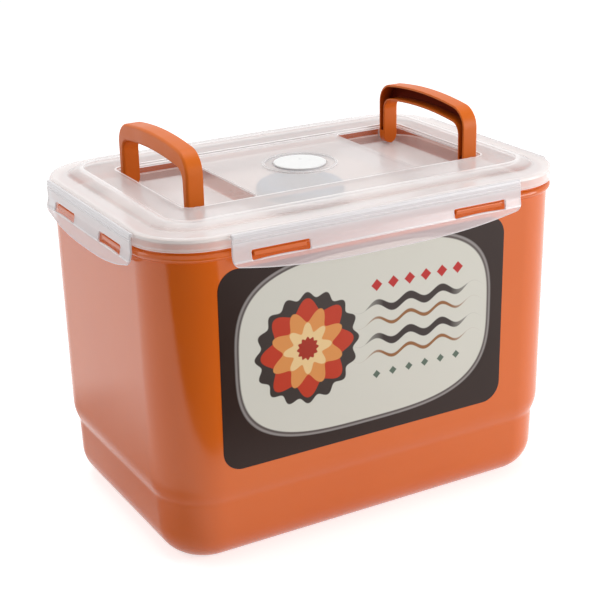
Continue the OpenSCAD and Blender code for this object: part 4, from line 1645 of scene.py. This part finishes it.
def c_section(thick, channel, narrow):
    """One section of (millimetres across the grip, sideways), outboard positive, by the channel's share."""
    w = HANDLE_HALF_W
    deep = -w + channel * (2 * w - HANDLE_WALL)
    near, rise, far = (size * channel for size in CHANNEL_CORNER)
    other = thick - HANDLE_WALL
    points = arc((thick - OUTER_EDGE, w - OUTER_EDGE), OUTER_EDGE, 90, 0, OUTER_EDGE_STEPS)
    points += arc((thick - RIM_EDGE, -w + RIM_EDGE), RIM_EDGE, 0, -90, RIM_EDGE_STEPS)
    points += [(other, -w), (other - near, deep - rise), (other - far, deep)]
    points += [(HANDLE_WALL + far, deep), (HANDLE_WALL + near, deep - rise), (HANDLE_WALL, -w)]
    points += arc((RIM_EDGE, -w + RIM_EDGE), RIM_EDGE, -90, -180, RIM_EDGE_STEPS)
    points += arc((OUTER_EDGE, w - OUTER_EDGE), OUTER_EDGE, 180, 90, OUTER_EDGE_STEPS)
    return [(across, sideways * narrow) for across, sideways in points]


print("points in a section:", len(c_section(GRIP_THICK, 1.0, 1.0)))

# %% [markdown]
# The section is carried along the arch from foot to foot. At the feet the channel closes and the width
# rounds off about the pivot, so every station along the way has its share of the channel and of the width.

# %% Stations along the handle
HANDLE_HALF_Y = 58.9
HANDLE_TOP = 296.5
HANDLE_CORNER = 16.5
HANDLE_CROWN = 321.22
LEG_THICK = 7.5
CHANNEL_FOOT = ((253.7, 0.0), (253.8, 0.12), (254.7, 0.2), (255.7, 0.35), (256.15, 0.5), (256.25, 1.0))
FOOT_TURNS = (86, 75, 60, 45, 30, 15, 0)


def handle_stations():
    """Inner point, outer point, channel share and width share, from the right foot to the left foot."""
    feet = []
    for degrees in FOOT_TURNS:
        a = math.radians(degrees)
        feet.append((PIVOT_Z - HANDLE_HALF_W * math.sin(a), 0.0, math.cos(a)))
    feet += [(z, share, 1.0) for z, share in CHANNEL_FOOT]
    rows = [z for z, channel, narrow in feet]
    outer = arch(HANDLE_HALF_Y, HANDLE_TOP, HANDLE_CORNER, HANDLE_CROWN)
    inner = arch(
        HANDLE_HALF_Y - LEG_THICK, HANDLE_TOP - GRIP_THICK, HANDLE_CORNER - LEG_THICK, HANDLE_CROWN)
    outline = list(zip(legs_and_arch(inner, rows), legs_and_arch(outer, rows)))
    shares = [(channel, narrow) for z, channel, narrow in feet]
    middle = [(1.0, 1.0)] * (len(outline) - 2 * len(shares))
    return list(zip(outline, shares + middle + shares[::-1]))


print("handle stations:", len(handle_stations()))

# %% [markdown]
# A short pin on each foot turns in a boss of the lid. The channel is marked for painted shade, so that
# its colour is darker and its gloss duller there. The left handle is the right one turned half round, so
# that both hollow sides face inwards.

# %% The handles
CHANNEL_POINTS = slice(11, 15)
PIN_R = 3.0
PIN_END = 63.3
PIN_SUNK = 0.3
PIN_EDGE = 0.4
PIN_STEPS = 32


def make_handle(side, turn):
    """One handle: sections along the arch, two pins, and a turn to its end of the lid."""
    bm = bmesh.new()
    loops = []
    hollow = []
    for (inner, outer), (channel, narrow) in handle_stations():
        across = Vector((outer[0] - inner[0], outer[1] - inner[1]))
        thick = across.length
        across /= thick
        section = []
        for share, sideways in c_section(thick, channel, narrow):
            section.append((HANDLE_X + sideways, inner[0] + across.x * share, inner[1] + across.y * share))
        loops.append(section)
        hollow.append(channel)
    # The channel's points carry the mark for painted shade.
    layer = bm.verts.layers.float.new(CHANNEL_SHADE_MARK)
    for verts, channel in zip(loft(bm, loops, cap_first=True, cap_last=True), hollow):
        for vert in verts[CHANNEL_POINTS]:
            vert[layer] = float(channel > 0)
    for sign in (-1, 1):
        low, high = sorted((sign * (HANDLE_HALF_Y - PIN_SUNK), sign * PIN_END))
        drum(bm, HANDLE_X, low, high, PIVOT_Z, PIN_R, PIN_EDGE, PIN_STEPS)
    turned(bm, turn)
    handle = as_object(f"handle_{side}_grip", bm)
    finish_piece(handle, f"handle_{side}", f"handle_{side}", handle_plastic)


make_handle("right", 0)
make_handle("left", 180)

# %% [markdown]
# The vent cap in the middle of the lid and the valve cap on the press plate are turned shapes: one outline
# carried round an upright axis. The vent cap is flush with the lid and has a shallow dish for a fingertip.
# The valve cap below it is a broad soft button, and shows through the lid as a blue-grey disc.

# %% Turned pieces
VENT_R = 20.1
VENT_LOW = 254.8
VENT_TOP = 256.4
VENT_LOW_EDGE = 0.3
VENT_EDGE = 0.7
VENT_STEPS = 5
VENT_DISH = ((15.0, 0.0), (13.5, 0.08), (9.0, 0.3), (4.0, 0.4))
STEM_R = 4.0
BARB_R = 5.5
BARB_Z = 247.7
BARB_TAPER = 1.5
BARB_SHARP = 0.6
VALVE_R = 33.6
VALVE_LOW = 233.0
VALVE_TOP = 241.0
VALVE_LOW_EDGE = 0.4
VALVE_EDGE = 4.0
VALVE_STEPS = 10
VALVE_GRIP = ((24.0, 0.0), (23.4, 0.8), (22.4, 0.8), (21.8, 0.0))
VALVE_STEM = 5.0
VALVE_FOOT = (7.0, 213.7, 215.2)


def turned_piece(name, outline):
    """A closed piece with an outline of (radius, height), from its foot up to its top."""
    bm = bmesh.new()
    loft(bm, [circle(radius, z) for radius, z in outline], cap_first=True, cap_last=True)
    return as_object(name, bm)


def vent_outline():
    """A barbed stem, a thin disc with a round edge, and a dish in its top."""
    barb = [(STEM_R, BARB_Z - BARB_TAPER), (BARB_R, BARB_Z - BARB_SHARP)]
    barb += [(BARB_R, BARB_Z), (STEM_R, BARB_Z)]
    head = [(STEM_R, VENT_LOW), (VENT_R - VENT_LOW_EDGE, VENT_LOW), (VENT_R, VENT_LOW + VENT_LOW_EDGE)]
    edge = arc((VENT_R - VENT_EDGE, VENT_TOP - VENT_EDGE), VENT_EDGE, 0, 90, VENT_STEPS)
    return barb + head + edge + [(radius, VENT_TOP - deep) for radius, deep in VENT_DISH]


def valve_outline():
    """A foot, a stem and a broad button with a finger groove in its top."""
    radius, low, high = VALVE_FOOT
    soft = VALVE_LOW_EDGE
    foot = [(radius - soft, low), (radius, low + soft), (radius, high), (VALVE_STEM, high)]
    head = [(VALVE_STEM, VALVE_LOW), (VALVE_R - soft, VALVE_LOW), (VALVE_R, VALVE_LOW + soft)]
    edge = arc((VALVE_R - VALVE_EDGE, VALVE_TOP - VALVE_EDGE), VALVE_EDGE, 0, 90, VALVE_STEPS)
    return foot + head + edge + [(across, VALVE_TOP - deep) for across, deep in VALVE_GRIP]


vent_cap = turned_piece("vent_cap_disc", vent_outline())
finish_piece(vent_cap, "vent_cap", "vent_cap", white_plastic)
valve_cap = turned_piece("valve_cap_button", valve_outline())
finish_piece(valve_cap, "valve_cap", "valve_cap", slate_silicone)

# %% [markdown]
# Inside the tub a press plate pushes the food down and keeps air out. It is a shallow tray with a ribbed
# edge that holds a lipped seal, and it shows through the lid as a pale floor. A round boss in its middle
# carries the valve. The tray follows the keeper's own loop, so the sweep tree from the tub makes it.

# %% The press plate
PLATE_Z = 222.0
PLATE_TOP = 236.0
PLATE_FLAT = 224.5
PLATE_RIB = 36.6
PLATE_WALL = 34.9
PLATE_INSIDE = 32.4
RIB_THICK = 3.4
RIB_EDGE = 0.8
TRAY_EDGE = 0.6
TRAY_FLOOR_EDGE = 2.5
TRAY_FLOOR_STEPS = 5
PLATE_CORE = 5.0
BOSS_OUT = 36.6
BOSS_TOP_EDGE = 0.5
SMALL_STEPS = 3


def plate_outline():
    """The tray from its middle under the ribs, round the seal's groove and over the edge to its floor."""
    ledge = PLATE_Z + RIB_THICK
    ceiling = PLATE_TOP - RIB_THICK
    low_rib = arc((PLATE_RIB - RIB_EDGE, PLATE_Z + RIB_EDGE), RIB_EDGE, -90, 0, SMALL_STEPS)
    groove = [(PLATE_RIB, ledge), (PLATE_WALL, ledge), (PLATE_WALL, ceiling), (PLATE_RIB, ceiling)]
    top = arc((PLATE_RIB - RIB_EDGE, PLATE_TOP - RIB_EDGE), RIB_EDGE, 0, 90, SMALL_STEPS)
    top += arc((PLATE_INSIDE + TRAY_EDGE, PLATE_TOP - TRAY_EDGE), TRAY_EDGE, 90, 180, SMALL_STEPS)
    corner = (PLATE_INSIDE - TRAY_FLOOR_EDGE, PLATE_FLAT + TRAY_FLOOR_EDGE)
    floor = arc(corner, TRAY_FLOOR_EDGE, 0, -90, TRAY_FLOOR_STEPS)
    return [(PLATE_CORE, PLATE_Z)] + low_rib + groove + top + floor + [(PLATE_CORE, PLATE_FLAT)]


def boss_outline():
    """The drum that carries the valve, sunk a little into the tray's floor."""
    return [(BOSS_OUT, PLATE_FLAT - BOSS_TOP_EDGE), (BOSS_OUT, VALVE_LOW - BOSS_TOP_EDGE),
            (BOSS_OUT - BOSS_TOP_EDGE, VALVE_LOW)]


press_plate = swept("press_plate_tray", plate_outline(), plate_plastic)
join_into(press_plate, [turned_piece("valve_boss", boss_outline())])
finish_piece(press_plate, "press_plate", "press_plate", plate_plastic)

# %% [markdown]
# Four soft rings keep the air out. The plate's seal has a thin lip that bends against the tub, and the
# lid's is a plain band on the rim. Both are swept like the tub. The two washers under the caps are turned.

# %% The seals
SEAL_LIP = 38.9
SEAL_SIDE = 0.1
SEAL_FOOT = 0.4
SEAL_LIP_UNDER = (0.2, 0.3)
SEAL_LIP_OVER = ((0.2, 0.4), (0.6, 0.6))
SEAL_LIP_ROOT = 0.6
GASKET = (38.7, 43.7, 247.3, 249.8)
GASKET_EDGE = 0.6
WASHER_EDGE = 0.25
VENT_WASHER = (16.1, 4.1, 254.0, 254.8)
VALVE_WASHER = (15.0, 5.1, 215.2, 217.2)


def press_seal_outline():
    """A block in the plate's groove with a lip that points out and up."""
    low = PLATE_Z + RIB_THICK + SEAL_SIDE
    high = PLATE_TOP - RIB_THICK - SEAL_SIDE
    middle = (low + high) / 2
    near = PLATE_WALL + SEAL_SIDE
    under = (SEAL_LIP - SEAL_LIP_UNDER[0], middle - SEAL_LIP_UNDER[1])
    over = [(SEAL_LIP - back, middle + up) for back, up in SEAL_LIP_OVER]
    outline = [(near, low), (PLATE_RIB + SEAL_FOOT, low), under, (SEAL_LIP, middle)] + over
    return outline + [(PLATE_RIB, middle - SEAL_LIP_ROOT), (PLATE_RIB, high), (near, high)]


def lid_seal_outline():
    """A flat band with round lower edges."""
    near, far, low, high = GASKET
    soft = GASKET_EDGE
    outline = arc((near + soft, low + soft), soft, 180, 270, SMALL_STEPS)
    outline += arc((far - soft, low + soft), soft, 270, 360, SMALL_STEPS)
    return outline + [(far, high), (near, high)]


def washer(name, outer, inner, low, high):
    """A flat ring with round outer edges."""
    bm = bmesh.new()
    soft = WASHER_EDGE
    outline = [(inner, low)] + arc((outer - soft, low + soft), soft, -90, 0, SMALL_STEPS)
    outline += arc((outer - soft, high - soft), soft, 0, 90, SMALL_STEPS) + [(inner, high)]
    made = loft(bm, [circle(radius, z) for radius, z in outline])
    bridge(bm, made[-1], made[0])
    return as_object(name, bm)


press_seal = swept("press_gasket_lip", press_seal_outline(), clear_silicone, closed=True)
finish_piece(press_seal, "press_gasket", "press_plate", clear_silicone)
lid_seal = swept("lid_gasket_band", lid_seal_outline(), clear_silicone, closed=True)
finish_piece(lid_seal, "lid_gasket", "lid", clear_silicone)
vent_seal = washer("vent_seal_ring", *VENT_WASHER)
finish_piece(vent_seal, "vent_seal", "vent_cap", clear_silicone)
valve_seal = washer("valve_seal_ring", *VALVE_WASHER)
finish_piece(valve_seal, "valve_seal", "valve_cap", clear_silicone)

# %% [markdown]
# The label is a printed film in dark brown and cream. Its print is drawn with arithmetic on the piece's own
# coordinates, so it stays sharp at any size: a brown ground, a cream plaque with a grey rim, a round flower
# in reds and golds on the left, and wavy bands with small diamonds on the right. A picture could be laid on
# instead, but it would blur up close. A small class writes the arithmetic.

# %% Drawing with ink
PRINT_UP = 5.0
PRINT_MID = ((LABEL_LOW[0] + LABEL_HIGH[0]) / 2, (LABEL_LOW[1] + LABEL_HIGH[1]) / 2 + PRINT_UP)
INK_EDGE = 0.35


class Ink:
    """Writes arithmetic on points of the label, in millimetres from its middle."""

    def __init__(self, tree):
        self.tree = tree
        place = tree.nodes.new("ShaderNodeTexCoord")
        parts = tree.nodes.new("ShaderNodeSeparateXYZ")
        tree.links.new(place.outputs["Object"], parts.inputs[0])
        self.x = self.do("SUBTRACT", self.do("DIVIDE", parts.outputs["X"], MM), PRINT_MID[0])
        self.y = self.do("SUBTRACT", self.do("DIVIDE", parts.outputs["Z"], MM), PRINT_MID[1])

    def do(self, operation, *values):
        """One step of arithmetic."""
        return math_node(self.tree, operation, *values)

    def away(self, x, y):
        """Distance from a point of the label."""
        dx = self.do("SUBTRACT", self.x, x)
        dy = self.do("SUBTRACT", self.y, y)
        return self.do("SQRT", self.do("ADD", self.do("MULTIPLY", dx, dx), self.do("MULTIPLY", dy, dy)))

    def under(self, value, limit):
        """One where a value is under a limit, with a soft edge."""
        gap = self.do("DIVIDE", self.do("SUBTRACT", limit, value), INK_EDGE)
        clipped = self.do("MAXIMUM", self.do("MINIMUM", gap, 1), -1)
        return self.do("MULTIPLY_ADD", clipped, 0.5, 0.5)

    def both(self, first, second):
        """One where two masks are both one."""
        return self.do("MULTIPLY", first, second)


print("the print is centred at", PRINT_MID)

# %% [markdown]
# Four kinds of motif make up the print. Each is a distance or a wave that is compared with a limit: inside
# the limit there is ink, outside there is none, and a soft edge under a millimetre wide lies between.

# %% The motifs of the print
PLAQUE_HALF = (104, 66)
PLAQUE_POWER = 3.2
STROKE_MID = 42.0
STROKE_HALF = 45.0
STROKE_POWER = 4
DIAMOND_SHIFT = 200
DIAMONDS_EACH_WAY = 3


def plaque_mask(ink, grow):
    """A wide plaque with full sides, grown by a distance."""
    across, up = PLAQUE_HALF
    wide = ink.do("POWER", ink.do("DIVIDE", ink.do("ABSOLUTE", ink.x), across + grow), PLAQUE_POWER)
    tall = ink.do("POWER", ink.do("DIVIDE", ink.do("ABSOLUTE", ink.y), up + grow), PLAQUE_POWER)
    size = ink.do("POWER", ink.do("ADD", wide, tall), 1 / PLAQUE_POWER)
    return ink.under(ink.do("MULTIPLY", size, up), up)


def petals(ink, centre, reach, swing, count, turn):
    """A flower outline: a circle whose edge swings in and out."""
    angle = ink.do("ARCTAN2", ink.do("SUBTRACT", ink.y, centre[1]), ink.do("SUBTRACT", ink.x, centre[0]))
    wave = ink.do("COSINE", ink.do("MULTIPLY_ADD", angle, count, turn))
    return ink.under(ink.away(*centre), ink.do("MULTIPLY_ADD", wave, swing, reach))


def wave_band(ink, height, half, swing, length):
    """A wavy brush stroke across the right of the plaque, thin at its ends."""
    wave = ink.do("MULTIPLY", ink.do("SINE", ink.do("MULTIPLY", ink.x, 2 * math.pi / length)), swing)
    off = ink.do("ABSOLUTE", ink.do("SUBTRACT", ink.do("SUBTRACT", ink.y, height), wave))
    along = ink.do("DIVIDE", ink.do("SUBTRACT", ink.x, STROKE_MID), STROKE_HALF)
    share = ink.do("ABSOLUTE", along)
    full = ink.do("MAXIMUM", ink.do("SUBTRACT", 1, ink.do("POWER", share, STROKE_POWER)), 0)
    return ink.both(ink.under(off, ink.do("MULTIPLY", full, half)), ink.under(share, 1))


def diamond_row(ink, height, step, half):
    """A row of small diamonds across the right of the plaque."""
    shifted = ink.do("ADD", ink.x, DIAMOND_SHIFT * step)
    local = ink.do("SUBTRACT", ink.do("MODULO", shifted, step), step / 2)
    size = ink.do("ADD", ink.do("ABSOLUTE", local), ink.do("ABSOLUTE", ink.do("SUBTRACT", ink.y, height)))
    across = ink.do("ABSOLUTE", ink.do("SUBTRACT", ink.x, STROKE_MID))
    return ink.both(ink.under(size, half), ink.under(across, DIAMONDS_EACH_WAY * step))


print("the plaque is", 2 * PLAQUE_HALF[0], "by", 2 * PLAQUE_HALF[1], "mm")

# %% [markdown]
# Each motif is a mask that lays one colour over the one before, as a press lays one ink over another. The
# list below is the whole design, from the plaque's rim up to the last row of diamonds, with a shape, its
# sizes in millimetres and its ink on each line. The film itself is a little duller than the polished tub.

# %% The printed label
GROUND = (41, 22, 15)
PALE_GROUND = (46, 27, 20)
FILM_SMOOTH = 0.30
FILM_RUBBED = 0.34
FILM_IOR = 1.34
FLOWER = (-50, 0)
INK_LAYERS = (
    (plaque_mask, {"grow": 3.2}, (150, 143, 140)),
    (plaque_mask, {"grow": 1.6}, (96, 86, 83)),
    (plaque_mask, {"grow": 0.0}, (219, 216, 205)),
    (petals, {"centre": FLOWER, "reach": 40, "swing": 2.2, "count": 16, "turn": 0}, (64, 54, 50)),
    (petals, {"centre": FLOWER, "reach": 33, "swing": 4.5, "count": 8, "turn": 0}, (196, 62, 38)),
    (petals, {"centre": FLOWER, "reach": 25, "swing": 5.0, "count": 8, "turn": math.pi}, (226, 150, 84)),
    (petals, {"centre": FLOWER, "reach": 16, "swing": 3.5, "count": 8, "turn": 0}, (240, 205, 150)),
    (petals, {"centre": FLOWER, "reach": 8, "swing": 0.8, "count": 12, "turn": 0}, (170, 52, 36)),
    (diamond_row, {"height": 36, "step": 14, "half": 4.6}, (190, 46, 44)),
    (wave_band, {"height": 20, "half": 3.0, "swing": 3.0, "length": 28}, (58, 47, 44)),
    (wave_band, {"height": 8, "half": 1.4, "swing": 3.0, "length": 28}, (150, 100, 60)),
    (wave_band, {"height": -6, "half": 3.0, "swing": 3.0, "length": 28}, (58, 47, 44)),
    (wave_band, {"height": -18, "half": 1.4, "swing": 3.0, "length": 28}, (150, 100, 60)),
    (diamond_row, {"height": -33, "step": 14, "half": 3.2}, (96, 110, 96)),
)


def label_material():
    """The film with its print."""
    material, tree, shader = new_material("printed label film")
    surface = moulded_surface(tree, GROUND, PALE_GROUND, FILM_SMOOTH, FILM_RUBBED)
    shader.inputs["IOR"].default_value = FILM_IOR
    ink = Ink(tree)
    print_colour = surface.outputs["Color"]
    for motif, sizes, tint in INK_LAYERS:
        print_colour = mix_colour(tree, motif(ink, **sizes), print_colour, colour(*tint))
    tree.links.new(print_colour, shader.inputs["Base Color"])
    tree.links.new(surface.outputs["Roughness"], shader.inputs["Roughness"])
    return material


label_film = label_material()
finish_piece(label, "front_label", "tub", label_film)
